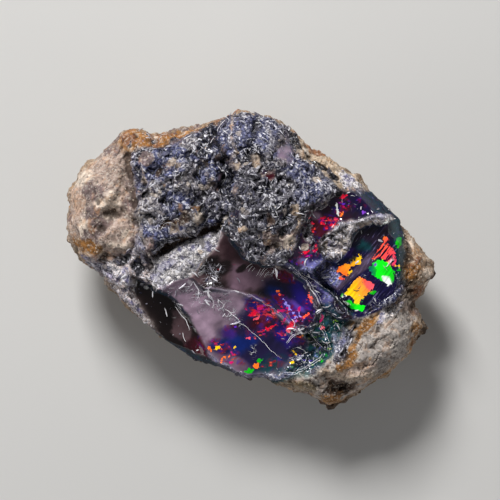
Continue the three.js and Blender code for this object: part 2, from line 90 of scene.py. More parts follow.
# the faces that tile the top: rise is along X and Y, hollow is below 0 on a crown, and edge is how soft
# the border is
faces = {
    "nodule": {
        "border": [(-14.0, 3.2), (-13.4, 5.4), (-12.0, 7.4), (-10.2, 9.0), (-8.7, 7.9), (-8.2, 4.0),
            (-8.1, 1.8), (-9.0, 0.6), (-11.1, -0.2), (-12.8, 0.1)],
        "middle": (-11.0, 4.0), "level": 9.4, "rise": (0.08, 0), "hollow": -0.065, "edge": 0.5,
        "lumps": 0.45,
    },
    "ochreRim": {
        "border": [(-10.2, 8.7), (-9.5, 9.8), (-6.7, 10.0), (-2.6, 10.9), (-2.2, 10.1), (-5.8, 8.7),
            (-8.6, 7.9)],
        "middle": (-6.0, 9.0), "level": 9.3, "rise": (0.08, -0.5), "hollow": 0, "edge": 0.5,
        "lumps": 0.35,
    },
    "leftCrust": {
        "border": [(-8.6, 7.9), (-5.8, 8.7), (-2.2, 10.1), (-1.4, 8.7), (-1.1, 6.2), (-1.4, 3.3),
            (-2.2, 2.6), (-3.5, 2.2), (-6.7, 0.7), (-8.1, 0.7), (-8.2, 4.0)],
        "middle": (-4.8, 4.8), "level": 10.5, "rise": (0.08, -0.04), "hollow": -0.016, "edge": 0.25,
        "lumps": 0.6,
    },
    "peakCrust": {
        "border": [(-2.2, 10.1), (-0.3, 11.4), (2.4, 10.8), (3.3, 8.7), (3.8, 7.4), (5.5, 6.1),
            (6.4, 5.1), (4.4, 4.0), (3.7, 2.5), (3.2, 1.1), (2.4, -0.2), (1.0, -0.2), (-0.3, 0.3),
            (-1.3, 1.4), (-1.7, 2.3), (-1.4, 3.3), (-1.1, 6.2), (-1.4, 8.7)],
        "middle": (0.8, 5.0), "level": 11.5, "rise": (-0.03, 0.02), "hollow": -0.026, "edge": 0.3,
        "lumps": 0.5,
    },
    "tanSlab": {
        "border": [(2.1, 11.0), (4.4, 9.0), (6.8, 7.8), (9.0, 6.0), (8.6, 5.2), (6.8, 5.1), (5.9, 6.0),
            (3.8, 7.4), (3.1, 9.0)],
        "middle": (5.5, 7.2), "level": 9.7, "rise": (-0.3, -0.35), "hollow": 0, "edge": 0.25,
        "lumps": 0.12,
    },
    "redSlope": {
        "border": [(4.4, 4.0), (5.6, 4.6), (6.8, 5.2), (8.3, 5.4), (11.3, 3.3), (10.2, 3.4), (8.3, 3.1),
            (7.2, 2.9), (6.4, 2.6), (5.6, 2.1), (5.0, 1.3), (5.0, 0.6), (5.1, -0.3), (3.5, -0.6),
            (2.8, 0.1), (3.2, 1.1), (3.7, 2.5)],
        "middle": (7.0, 3.3), "level": 9.2, "rise": (-0.24, 0.04), "hollow": 0.015, "edge": 0.3,
        "lumps": 0.22,
    },
    "brightFacet": {
        "border": [(6.1, -0.2), (6.9, 0.6), (7.4, 1.5), (7.8, 2.2), (8.3, 2.6), (9.4, 2.7), (10.5, 3.0),
            (11.4, 2.6), (11.2, -2.2), (10.7, -2.9), (9.6, -3.7), (7.9, -4.2), (6.0, -2.6), (5.1, -2.0),
            (4.8, -0.8), (5.6, 0.0)],
        "middle": (8.4, -0.8), "level": 8.2, "rise": (-0.05, 0.08), "hollow": 0, "edge": 0.18,
        "lumps": 0,
    },
    "ledgeRock": {
        "border": [(5.0, 1.3), (5.6, 2.1), (6.4, 2.6), (7.2, 2.9), (8.3, 3.1), (10.2, 3.4), (10.5, 3.0),
            (9.4, 2.7), (8.3, 2.6), (7.8, 2.2), (7.4, 1.5), (6.9, 0.6), (6.1, -0.2), (5.6, 0.0),
            (5.1, 0.7)],
        "middle": (7.0, 1.7), "level": 9.3, "rise": (-0.15, 0.2), "hollow": 0, "edge": 0.12,
        "lumps": 0.35,
    },
    "upperBowl": {
        "border": [(-1.9, 2.2), (-1.3, 1.4), (-0.3, 0.3), (1.0, -0.2), (2.4, -0.3), (3.5, -1.0),
            (4.5, -2.0), (5.2, -3.3), (4.7, -4.6), (3.7, -5.4), (2.4, -3.8), (0.8, -2.8), (-1.4, -2.2),
            (-3.3, -2.3), (-4.2, -1.3), (-3.2, 0.1), (-2.2, 1.4)],
        "middle": (1.0, -2.2), "level": 8.0, "rise": (0.02, 0.28), "hollow": 0.045, "edge": 0.18,
        "lumps": 0,
    },
    "lowerBowl": {
        "border": [(-6.8, -2.2), (-5.8, -1.8), (-4.2, -1.3), (-3.3, -2.3), (-1.4, -2.2), (0.8, -2.8),
            (2.4, -3.8), (3.7, -5.4), (4.4, -6.2), (3.5, -7.5), (2.2, -8.4), (0.9, -9.0), (-0.3, -9.2),
            (-2.2, -8.2), (-3.4, -6.3), (-4.4, -4.3), (-5.5, -2.9)],
        "middle": (-0.5, -5.6), "level": 6.6, "rise": (0, 0.26), "hollow": 0.04, "edge": 0.15,
        "lumps": 0,
    },
    "chips": {
        "border": [(3.7, -5.4), (4.7, -4.6), (5.2, -3.3), (6.3, -4.3), (7.3, -4.7), (6.7, -5.9),
            (6.1, -7.2), (4.3, -8.6), (2.8, -9.1), (1.3, -8.8), (2.4, -8.2), (3.5, -7.3), (4.4, -6.2)],
        "middle": (4.8, -6.2), "level": 7.3, "rise": (0.05, 0.2), "hollow": 0, "edge": 0.2,
        "lumps": 0.15,
    },
    "ridge": {
        "border": [(2.3, -0.2), (4.3, -1.0), (6.1, -2.6), (7.5, -4.3), (6.3, -4.3), (5.2, -3.3),
            (4.5, -2.0), (3.4, -1.0)],
        "middle": (4.8, -2.2), "level": 8.8, "rise": (-0.14, 0.1), "hollow": 0, "edge": 0.18,
        "lumps": 0,
    },
    "paleBlock": {
        "border": [(-6.6, 0.7), (-5.0, 1.2), (-3.4, 1.9), (-2.0, 2.5), (-1.9, 1.7), (-3.2, 0.1),
            (-4.1, -1.1), (-5.6, -1.7), (-6.9, -2.3), (-7.3, -1.2)],
        "middle": (-4.6, 0.2), "level": 9.4, "rise": (0.02, 0.14), "hollow": 0, "edge": 0.14,
        "lumps": 0.12,
    },
    "darkSide": {
        "border": [(-8.6, -1.1), (-7.3, -1.8), (-6.8, -2.2), (-5.5, -2.9), (-4.4, -4.3), (-3.4, -6.3),
            (-2.2, -8.4), (-4.3, -8.2), (-6.7, -6.0), (-7.9, -4.3), (-8.8, -2.6)],
        "middle": (-6.0, -4.2), "level": 6.7, "rise": (0.32, 0.36), "hollow": 0.02, "edge": 0.16,
        "lumps": 0.05,
    },
    "lowerRim": {
        "border": [(-12.8, 0.1), (-11.1, -0.2), (-9.0, 0.6), (-8.1, 1.4), (-7.3, -0.2), (-7.2, -1.5),
            (-8.4, -1.1), (-8.6, -2.6), (-7.7, -4.3), (-6.3, -6.4), (-7.4, -6.0), (-10.6, -2.4)],
        "middle": (-9.3, -1.2), "level": 7.9, "rise": (0.1, 0.3), "hollow": -0.03, "edge": 0.35,
        "lumps": 0.3,
    },
    "matrixBlock": {
        "border": [(6.7, -4.9), (8.1, -4.4), (9.6, -3.8), (10.8, -2.9), (11.2, -2.1), (12.3, -3.5),
            (13.4, -5.0), (12.3, -6.6), (11.2, -8.2), (8.6, -10.2), (5.9, -11.6), (4.5, -10.6),
            (2.8, -9.8), (1.8, -9.3), (3.5, -8.6), (5.4, -7.8), (6.3, -6.6)],
        "middle": (8.6, -6.3), "level": 7.7, "rise": (-0.1, 0.12), "hollow": -0.035, "edge": 0.3,
        "lumps": 0.35,
    },
    "knob": {
        "border": [(11.1, 2.6), (12.6, 1.4), (14.0, -0.8), (13.4, -2.3), (12.3, -3.6), (11.2, -2.8),
            (11.1, -1.9)],
        "middle": (12.2, -0.5), "level": 7.3, "rise": (0, 0.05), "hollow": -0.16, "edge": 0.3,
        "lumps": 0.3,
    },
}

# name: path, how far it stands out, width, and the tone and width of the line that marks it
creases = {
    # the brown line under the crust lip is painted shadow in the crevice
    "underCrust": ([(-6.9, 0.5), (-5.0, 1.3), (-3.4, 2.0), (-2.1, 2.5)], -0.8, 0.3, "brown", 0.2),
    "ledgeTop": ([(5.5, 1.7), (6.6, 2.5), (8.2, 3.0), (10.2, 3.3)], 0.35, 0.25, "whiteLine", 0.12),
    # the fold between the bowls is marked with a pale painted highlight
    "betweenBowls": ([(-3.3, -2.1), (-1.3, -2.3), (0.8, -3.0), (2.7, -4.6), (3.4, -5.4)], 0.25, 0.22,
        "foldHighlight", 0.07),
    "ridge": ([(2.3, -0.3), (3.5, -1.1), (5.1, -2.2), (7.4, -4.0)], 0.3, 0.2, None, 0),
    "ridgeFoot": ([(3.2, -0.6), (4.3, -1.9), (5.0, -3.3), (5.5, -4.8)], 0.2, 0.16, None, 0),
    # the ink-brown line is painted shadow in the crevice under the bright facet
    "underFacet": ([(5.2, -1.8), (6.3, -2.8), (7.5, -3.9)], -0.8, 0.16, "inkBrown", 0.16),
    "chalkyRim": ([(-12.4, 0.0), (-10.2, -1.4), (-8.9, -3.0), (-7.5, -4.9)], 0.35, 0.6, "pinkChalk",
        0.5),
    "hostShelf": ([(5.0, -8.2), (7.0, -8.8), (8.9, -8.5)], 0.5, 0.45, "beige", 0.3),
    "besideNodule": ([(-8.5, 6.4), (-8.2, 4.4), (-8.2, 1.4)], -0.15, 0.3, None, 0),
    "insideSlab": ([(3.1, 9.2), (4.4, 7.4), (6.2, 6.1)], -0.5, 0.25, "coal", 0.12),
    # the coal lines along the left and right folds are painted shadow in their grooves
    "leftFold": ([(-2.8, 10.2), (-2.4, 8.7), (-1.7, 7.3), (-1.7, 6.0)], -0.7, 0.3, "coal", 0.25),
    "middleFold": ([(-1.2, 10.7), (-1.4, 9.4), (-1.1, 8.0), (-0.6, 6.9)], 0.5, 0.3, "beige", 0.16),
    "rightFold": ([(0.6, 10.4), (0.3, 8.9), (-0.1, 7.6)], -0.6, 0.3, "coal", 0.2),
    "farFold": ([(1.3, 10.2), (1.6, 8.6), (1.2, 7.2)], 0.45, 0.3, "paleCrust", 0.14),
    "bottomRim": ([(-2.9, -7.0), (-2.2, -7.6), (-1.3, -8.1), (-0.1, -8.7), (1.8, -8.5)], 0.1, 0.12,
        "blueChalk", 0.15),
    "cupCrack": ([(4.2, -5.5), (4.9, -6.1), (5.7, -6.6)], -0.5, 0.14, "inkBrown", 0.12),
    "cupRim": ([(2.9, -6.6), (3.4, -6.4), (3.9, -6.7), (4.0, -7.2), (3.6, -7.6), (3.0, -7.5)], 0.2,
        0.12, None, 0),
}

# middle, how far it stands out, radius
bosses = [
    ((-3.8, 3.4), 0.6, 0.6), ((-0.5, 2.3), 0.4, 0.4), ((0.5, 7.4), -0.5, 0.7), ((-6.3, 3.0), -0.7, 0.9),
    ((-2.2, 5.6), -0.5, 1.0), ((-5.6, 6.2), 0.5, 1.2), ((2.9, 5.4), -0.5, 0.8), ((1.4, 3.3), 0.4, 1.1),
    ((-11.8, 5.8), 0.4, 1.0), ((-10.2, 2.6), -0.4, 0.8), ((-3.3, -0.9), -0.6, 0.8),
    ((4.3, -6.9), -0.8, 0.9), ((6.8, -9.7), -1.6, 1.0), ((10.6, -5.6), 0.4, 1.0),
    ((12.4, -3.3), -0.7, 0.7), ((3.4, -7.0), -0.25, 0.5),
]

# a point on each plane that breaks the underside, its height there, its rise along X and Y
undersideBreaks = [
    ((-9.0, 3.0), 2.0, (-0.62, 0.12)), ((-7.0, -3.5), 2.3, (-0.3, -0.75)),
    ((4.0, -7.5), 2.0, (0.12, -0.72)), ((9.5, -2.5), 2.2, (0.7, -0.1)), ((6.5, 5.5), 2.6, (0.55, 0.6)),
    ((-2.0, 8.0), 2.2, (-0.08, 0.85)),
]

# relief by kind of surface: how high clumps, folds, grit and swells stand and how deep pits and cracks
# are; plain is the share of it that a face loses
relief = {
    "crust": {"clumps": 0.3, "folds": 0.2, "grit": 0.08, "swell": 0.5, "pits": 0.45},
    "host": {
        "clumps": 0.2, "grit": 0.08, "swell": 0.4, "pits": 0.3, "cracks": 0.12, "plainMatrix": 0.7,
        "plainNodule": 0.6, "noduleSwell": 0.25, "rimGrit": 0.15,
    },
    "chalk": {
        "clumps": 0.22, "folds": 0.08, "grit": 0.05, "swell": 0.14, "cracks": 0.12, "plainBlock": 0.5,
    },
    "glass": {"swell": 0.04, "plainFacet": 0.8, "ridgeFolds": 0.06, "chipClumps": 0.5, "chipFolds": 0.2},
    "fadesBelow": 0.6,  # all of it dies out towards the flat that the stone rests on
}

# fine arcs in the glass: where the break began, wavelength and depth
ripples = [((-5.5, -1.0), 0.9, 0.03), ((3.5, -1.5), 0.7, 0.02)]

# tones of the rock and the glass, 0-255; the kind says which texture they carry
tones = {
    "sand": ("host", (168, 147, 135)), "ochre": ("host", (150, 100, 46)),
    "cream": ("host", (226, 208, 190)), "tan": ("host", (188, 166, 142)),
    "darkTan": ("host", (148, 124, 102)), "beige": ("host", (172, 154, 136)),
    "brown": ("host", (58, 40, 30)), "greyRock": ("host", (164, 155, 149)),
    "peach": ("host", (204, 170, 148)), "rust": ("host", (138, 92, 64)),
    "sideRock": ("host", (152, 130, 108)), "olive": ("host", (140, 124, 98)),
    "mauveRock": ("host", (118, 100, 98)), "chalk": ("chalk", (226, 220, 218)),
    "pinkChalk": ("chalk", (226, 208, 202)), "blueChalk": ("chalk", (138, 142, 168)),
    "whiteLine": ("chalk", (222, 218, 224)), "tanChalk": ("chalk", (236, 224, 216)),
    "violetPowder": ("chalk", (172, 176, 252)), "navyCrust": ("crust", (104, 108, 146)),
    "greyCrust": ("crust", (116, 112, 118)), "coal": ("crust", (30, 29, 38)),
    "paleCrust": ("crust", (172, 164, 160)), "smoke": ("glass", (128, 108, 124)),
    "lilac": ("glass", (192, 162, 184)), "plumBrown": ("glass", (96, 74, 78)),
    "wine": ("glass", (70, 12, 26)), "night": ("glass", (22, 18, 56)),
    "inkBrown": ("glass", (26, 18, 18)), "teal": ("glass", (14, 62, 66)),
    "blue": ("glass", (14, 40, 118)), "violet": ("glass", (76, 40, 142)),
    "indigo": ("glass", (34, 22, 124)), "mauve": ("glass", (122, 96, 112)),
    "darkViolet": ("glass", (38, 28, 46)), "violetDust": ("glass", (118, 114, 178)),
    "glowViolet": ("glass", (112, 76, 196)), "dusk": ("glass", (88, 72, 92)),
    "foldHighlight": ("glass", (206, 190, 212)), "maroon": ("glass", (56, 34, 40)),
}

# for each face: its tone, how thickly chips lie on it, how thick its small fire is and how warm that is
finishes = {
    "nodule": ("sand", 0, 0, 0), "ochreRim": ("ochre", 1.5, 0, 0), "leftCrust": ("navyCrust", 1, 0, 0),
    "peakCrust": ("greyCrust", 1, 0, 0), "tanSlab": ("tan", 0, 0, 0),
    "redSlope": ("darkViolet", 0.12, 0.1, 1), "brightFacet": ("night", 0.06, 0, 0.5),
    "ledgeRock": ("tanChalk", 1.1, 0, 0), "upperBowl": ("plumBrown", 0.02, 0, 1),
    "lowerBowl": ("smoke", 0.01, 0, 0.9), "chips": ("teal", 0.6, 0.5, 0.15),
    "ridge": ("violetDust", 0.9, 0.15, 0.9), "paleBlock": ("chalk", 0.35, 0, 0),
    # the dark side's near-black tone is partly the glass's own dark and partly painted shade
    "darkSide": ("inkBrown", 0.05, 0, 1), "lowerRim": ("pinkChalk", 0.55, 0, 0),
    "matrixBlock": ("greyRock", 0, 0, 0), "knob": ("darkTan", 0, 0, 0), "side": ("sideRock", 0, 0, 0),
}

# tones that lie in the glass as soft clouds
clouds = [
    "blue", "indigo", "violet", "glowViolet", "teal", "wine", "mauve", "lilac", "maroon", "smoke",
]

# patches of another tone on a face: tone, middle, half length and half width, turn in degrees
stains = {
    # the two lilac stains are partly the glass's own lilac and partly a painted sheen, a soft reflection
    "lowerBowl": [("lilac", (-4.0, -4.3), (2.3, 1.8), -30), ("lilac", (-1.9, -2.8), (2.2, 0.9), -10),
        ("blue", (-0.6, -6.2), (1.2, 0.7), 10), ("teal", (1.5, -7.8), (1.3, 0.6), 20),
        ("violet", (-1.5, -5.5), (0.5, 0.4), 0), ("indigo", (0.7, -3.4), (1.0, 0.6), -25),
        ("indigo", (2.5, -5.4), (1.0, 0.6), -60), ("glowViolet", (2.9, -4.4), (0.7, 0.2), -50),
        ("blue", (-2.2, -6.4), (0.8, 0.4), 0), ("wine", (0.9, -4.6), (0.9, 0.5), 10),
        ("mauve", (-1.1, -7.6), (1.2, 0.4), -20)],
    "upperBowl": [("mauve", (-0.3, -1.2), (1.6, 1.1), -20), ("maroon", (-1.1, 0.9), (1.1, 1.2), 0),
        ("maroon", (0.9, -0.5), (1.3, 0.35), -15), ("wine", (2.3, -1.1), (0.9, 0.6), -30),
        # the large ink-brown stain at (-2.8, -0.5) is painted shadow below the pale block
        ("inkBrown", (-2.8, -0.5), (1.4, 1.1), 0), ("inkBrown", (-0.6, -0.7), (0.5, 0.25), 30),
        ("indigo", (3.7, -2.6), (1.1, 0.6), -50), ("blue", (1.6, -2.3), (0.6, 0.4), 0),
        ("violet", (3.0, -3.6), (0.9, 0.5), -40), ("glowViolet", (3.4, -3.4), (0.8, 0.2), -40)],
    "brightFacet": [("darkViolet", (8.9, 1.7), (2.0, 0.9), 0), ("blue", (6.6, 0.3), (0.8, 0.4), 50),
        ("teal", (8.3, 1.0), (0.6, 0.4), 0), ("violet", (7.2, 0.6), (0.5, 0.3), 50)],
    "ridge": [("violetPowder", (5.3, -1.6), (1.2, 0.4), -45), ("night", (4.3, -1.9), (1.2, 0.5), -50),
        ("teal", (6.0, -3.9), (0.8, 0.4), -45)],
    "redSlope": [("wine", (5.6, 2.0), (1.8, 1.5), 0), ("smoke", (4.8, 3.2), (0.4, 0.3), 0),
        ("greyCrust", (4.9, 4.1), (1.0, 0.45), 25), ("paleCrust", (4.1, 2.0), (0.35, 0.9), 0),
        ("cream", (5.2, 4.3), (0.4, 0.3), 0), ("cream", (3.9, 1.0), (0.3, 0.4), 0),
        ("greyCrust", (4.4, 0.9), (0.3, 0.7), 10), ("paleCrust", (6.2, 4.9), (0.7, 0.2), -10),
        ("violetDust", (4.2, -0.2), (0.9, 0.4), -25), ("night", (8.4, 4.2), (1.4, 0.9), -30),
        ("night", (4.8, 0.6), (0.6, 0.9), 0), ("blueChalk", (7.6, 5.2), (0.8, 0.2), -30)],
    "darkSide": [("wine", (-3.5, -6.7), (1.2, 0.7), -30), ("plumBrown", (-5.0, -5.0), (0.7, 1.2), 20)],
    "chips": [("night", (3.4, -7.3), (1.2, 0.8), 0), ("blueChalk", (2.4, -8.5), (1.1, 0.3), 10),
        ("blueChalk", (4.9, -8.0), (0.8, 0.3), 30), ("inkBrown", (4.8, -6.2), (1.0, 0.3), -35),
        ("blueChalk", (6.3, -6.3), (0.3, 1.2), 10), ("smoke", (3.4, -6.2), (0.7, 0.3), 40)],
    "peakCrust": [("wine", (1.5, 6.1), (0.35, 0.25), 0), ("coal", (1.0, 5.1), (0.5, 0.6), 0),
        ("navyCrust", (-0.2, 9.2), (2.2, 1.6), 0), ("navyCrust", (3.0, 7.0), (1.8, 1.2), -40),
        ("navyCrust", (4.6, 5.0), (1.2, 1.2), 0), ("coal", (0.4, 7.6), (0.8, 0.9), 0),
        ("paleCrust", (2.1, 7.2), (0.6, 0.4), 0), ("cream", (4.9, 6.0), (0.35, 0.2), -20),
        ("beige", (0.5, 7.3), (0.45, 0.5), 0), ("beige", (-1.2, 6.8), (0.6, 0.4), 0),
        ("tan", (3.3, 3.3), (0.3, 1.2), 10), ("cream", (2.9, 1.4), (0.6, 0.6), 0),
        ("smoke", (2.7, 8.0), (0.7, 0.95), 20), ("lilac", (2.9, 8.2), (0.3, 0.5), 20),
        ("tan", (-0.5, 2.3), (0.4, 0.35), 0)],
    "leftCrust": [("brown", (-4.8, 3.0), (1.0, 0.5), 20), ("paleCrust", (-7.1, 4.0), (1.0, 1.6), 0),
        ("beige", (-3.1, 5.0), (1.1, 0.4), 60), ("greyCrust", (-2.6, 4.2), (1.6, 1.2), 0),
        ("paleCrust", (-4.6, 5.6), (1.2, 0.6), -20), ("brown", (-5.8, 2.8), (0.7, 0.4), 30),
        ("beige", (-5.6, 7.1), (0.5, 0.4), 0), ("coal", (-6.0, 1.3), (1.2, 0.4), 10),
        ("paleCrust", (-4.6, 2.1), (1.0, 0.3), 25), ("greyRock", (-8.0, 2.2), (0.5, 1.4), 0),
        ("coal", (-3.7, 3.4), (0.8, 1.0), 0), ("cream", (-3.8, 3.2), (0.5, 0.7), 0),
        ("ochre", (-3.9, 3.8), (0.35, 0.25), 0), ("paleCrust", (-4.3, 6.4), (0.8, 0.8), 0)],
    "nodule": [("mauveRock", (-11.1, 5.1), (1.0, 0.7), 0), ("mauveRock", (-10.9, 2.7), (1.2, 0.7), 20),
        ("cream", (-10.2, 4.0), (0.8, 1.1), 0), ("peach", (-12.5, 4.2), (0.6, 1.0), 0),
        ("ochre", (-11.8, 1.0), (1.3, 0.5), -15), ("mauveRock", (-11.4, 3.4), (0.7, 0.5), 0),
        ("cream", (-12.2, 6.0), (0.9, 0.6), 40)],
    "tanSlab": [("chalk", (7.4, 5.8), (1.4, 0.6), -30), ("inkBrown", (5.0, 6.9), (0.9, 0.22), -32)],
    "matrixBlock": [("ochre", (8.4, -5.0), (1.2, 0.4), 48), ("ochre", (7.0, -7.3), (1.4, 0.6), 65),
        # the brown stain at (6.6, -9.6) is painted shade in the hollow under the block
        ("sand", (7.4, -8.4), (2.0, 0.6), 25), ("brown", (6.6, -9.6), (1.3, 0.6), 10),
        ("greyCrust", (6.8, -6.2), (0.6, 1.7), -20), ("ochre", (9.0, -4.6), (1.0, 0.25), 50),
        ("ochre", (7.7, -6.2), (1.3, 0.22), 62), ("ochre", (6.0, -10.4), (1.0, 0.4), -10),
        ("ochre", (11.9, -5.6), (0.4, 1.4), -25), ("olive", (3.7, -9.4), (1.3, 0.4), -10),
        ("blueChalk", (6.6, -5.9), (0.4, 1.3), -20), ("tanChalk", (10.3, -3.9), (1.4, 0.5), 40),
        ("ochre", (9.6, -9.0), (1.6, 0.35), 40)],
    "knob": [("ochre", (11.7, -0.8), (0.5, 0.9), 0), ("rust", (12.3, -2.3), (0.6, 0.6), 0),
        ("cream", (11.6, 1.2), (0.6, 0.4), 40), ("rust", (11.7, -0.4), (0.25, 0.2), 0)],
    "lowerRim": [("navyCrust", (-11.2, -0.3), (1.8, 0.6), -30),
        ("greyCrust", (-9.2, 0.0), (0.7, 0.5), 0), ("chalk", (-9.4, -1.0), (1.3, 0.5), -40),
        ("chalk", (-8.3, -3.0), (1.2, 0.45), -60), ("coal", (-7.9, -0.6), (0.4, 0.8), 0)],
}

# uneven patches scattered all over a face: tone, patches per mm, which noise, and how rare they are
patches = {
    "leftCrust": [("coal", 0.6, 51.0, 0.2), ("paleCrust", 0.7, 58.0, 0.3), ("beige", 0.9, 64.0, 0.38),
        ("mauveRock", 0.8, 71.0, 0.36), ("plumBrown", 0.8, 83.0, 0.4)],
    "peakCrust": [("coal", 0.6, 52.0, 0.22), ("beige", 0.9, 65.0, 0.42), ("mauveRock", 0.8, 72.0, 0.36),
        ("darkViolet", 0.9, 84.0, 0.4)],
    "ochreRim": [("rust", 1.3, 21.0, 0.12), ("cream", 1.6, 33.0, 0.42), ("greyCrust", 0.9, 45.0, 0.22)],
    "nodule": [("mauveRock", 0.6, 22.0, 0.22), ("cream", 0.9, 34.0, 0.32)],
    "matrixBlock": [("sand", 0.6, 23.0, 0.2), ("ochre", 0.8, 35.0, 0.38), ("brown", 1.1, 47.0, 0.42)],
    "knob": [("rust", 0.9, 24.0, 0.3), ("cream", 1.0, 36.0, 0.3), ("brown", 1.4, 48.0, 0.42)],
    "lowerRim": [("coal", 0.9, 25.0, 0.38), ("chalk", 1.1, 37.0, 0.15)],
    "ledgeRock": [("coal", 1.3, 26.0, 0.22), ("greyRock", 1.2, 38.0, 0.2)],
    "ridge": [("violetPowder", 1.3, 28.0, 0.05), ("night", 0.9, 40.0, 0.32)],
    "side": [("rust", 0.5, 27.0, 0.4), ("mauveRock", 0.5, 39.0, 0.35)],
}

# pools and bands of colour in the glass: tone, face, border and how soft the border is
pools = [
    # a narrow band of painted shadow along the upper side of the fold between the bowls
    ("inkBrown", "upperBowl", [(-3.6, -1.7), (-2.3, -1.4), (-0.6, -1.7), (1.0, -2.2), (1.2, -2.9),
        (-0.6, -2.3), (-2.2, -2.1), (-3.4, -2.1)], 0.3),
    ("night", "lowerBowl", [(0.0, -2.9), (1.9, -3.4), (3.4, -4.8), (4.4, -5.8), (4.2, -6.8),
        (3.0, -7.6), (0.3, -8.5), (-1.8, -7.3), (-3.0, -6.6), (-1.8, -5.2), (-0.7, -4.4)], 0.4),
    ("night", "upperBowl", [(0.8, -1.7), (2.5, -0.9), (3.7, -1.2), (4.6, -2.5), (5.2, -4.2),
        (4.4, -5.4), (3.2, -4.9), (2.2, -3.7), (0.8, -2.6)], 0.4),
    ("dusk", "brightFacet", [(5.8, -2.0), (6.4, -2.3), (7.7, -1.2), (8.6, -0.6), (9.6, 0.7), (9.4, 1.2),
        (8.9, 0.7), (7.9, -0.3), (6.8, -1.4)], 0.1),
    ("dusk", "brightFacet", [(8.9, 1.3), (9.5, 1.4), (10.1, 2.4), (9.8, 2.6)], 0.1),
    ("teal", "brightFacet", [(10.2, 3.4), (11.3, 2.8), (11.5, 0.5), (11.4, -2.0), (10.8, -1.7),
        (10.6, 0.5), (10.2, 2.2)], 0.1),
    ("violetPowder", "brightFacet", [(4.4, 0.0), (5.5, 0.2), (6.0, -0.4), (6.8, -1.3), (6.3, -2.0),
        (5.8, -1.8), (4.9, -0.8)], 0.15),
    ("violetPowder", "redSlope", [(3.6, -0.8), (4.3, -0.1), (5.3, 0.4), (5.8, -0.4), (4.8, -1.4)],
        0.25),
    ("violetPowder", "ridge", [(3.9, -0.6), (4.8, -0.6), (5.6, -1.4), (4.9, -1.5)], 0.2),
    ("inkBrown", "ridge", [(6.0, -2.6), (6.4, -2.7), (7.7, -4.2), (7.4, -4.6), (6.4, -4.4),
        (5.9, -3.4)], 0.2),
    ("navyCrust", "brightFacet", [(10.9, -1.4), (11.2, -1.3), (11.3, -2.2), (10.3, -3.1), (8.4, -4.1),
        (8.3, -3.9), (9.6, -3.2), (10.5, -2.5)], 0.1),
]

# thick clusters of loose chips away from the crust: middle, half length and half width, turn
chipDrifts = [
    ((-3.1, -0.9), 0.9, 0.6, 0), ((-5.9, -1.8), 1.2, 0.4, -30), ((2.2, -8.5), 1.4, 0.4, 5),
    ((-7.6, -2.0), 0.4, 0.3, 0), ((-5.2, -3.4), 1.0, 0.2, -55), ((5.6, 0.3), 0.5, 0.4, 0),
    ((4.5, 5.0), 1.2, 1.0, 0), ((4.3, -5.1), 0.7, 0.5, 0), ((6.3, 1.2), 0.5, 0.4, 30),
    ((5.2, 4.2), 1.1, 0.5, 25), ((4.4, 1.4), 0.4, 1.0, 5), ((5.2, 0.5), 0.5, 0.4, 0),
    ((3.9, 2.6), 0.5, 1.4, 10), ((9.8, -2.9), 1.6, 0.3, 40), ((5.8, -1.5), 1.5, 0.7, -48),
    ((5.6, -1.2), 0.8, 0.8, -48), ((10.9, -1.2), 0.3, 0.8, 0), ((6.8, -6.3), 0.5, 1.6, -20),
]

# where long thin curls lie on the glass: middle, half length and half width, turn
curlDrifts = [
    ((-2.9, -0.9), 0.9, 0.8, 0), ((-3.2, -2.7), 1.0, 1.3, 0), ((-2.3, -3.0), 1.0, 1.0, 0),
    ((-1.2, -4.2), 1.1, 0.5, -40), ((-4.6, -2.0), 0.8, 0.4, -20), ((3.4, -5.2), 0.6, 0.4, 0),
    ((1.6, -0.9), 0.5, 0.6, 0), ((5.0, -3.9), 0.3, 0.8, 10), ((0.2, -6.8), 0.3, 0.6, 0),
    ((3.4, -7.4), 0.6, 0.4, 0),
]

# where the small fire is thick: middle, half length and half width, turn, thickness
fireDrifts = [
    ((1.1, -4.0), 1.6, 0.8, -25, 0.75), ((0.8, -5.2), 1.3, 0.6, 10, 0.6),
    ((-2.0, -6.5), 1.2, 0.5, -30, 0.65), ((2.7, -5.0), 0.8, 0.6, 50, 0.6),
    ((2.4, -1.4), 0.8, 0.5, -30, 0.55), ((2.4, -3.2), 1.1, 0.5, -35, 0.65),
    ((4.3, -3.4), 0.9, 0.4, -60, 0.5), ((-1.2, -7.5), 0.9, 0.35, -20, 0.6),
    ((1.8, -7.7), 0.9, 0.5, 20, 0.5), ((-1.4, -5.2), 0.8, 0.4, 20, 0.45),
    ((-3.4, -6.4), 0.8, 0.4, -45, 0.4), ((6.9, 4.2), 0.7, 0.6, -30, 0.75),
    ((5.8, 2.8), 1.2, 0.45, -20, 0.8), ((4.3, 2.3), 0.7, 0.9, 0, 0.7), ((4.5, 0.9), 0.8, 0.7, 20, 0.75),
    ((6.3, 3.6), 0.5, 0.4, 0, 0.6), ((8.2, 4.2), 0.6, 0.3, -20, 0.5),
    ((3.7, -0.1), 0.7, 0.4, -30, 0.55), ((3.4, -7.1), 0.7, 0.5, 0, 0.4),
    ((3.4, -4.4), 0.9, 0.5, -50, 0.6), ((4.4, -4.6), 0.6, 0.4, -70, 0.5),
    ((3.6, -5.6), 0.8, 0.5, 0, 0.5),
]

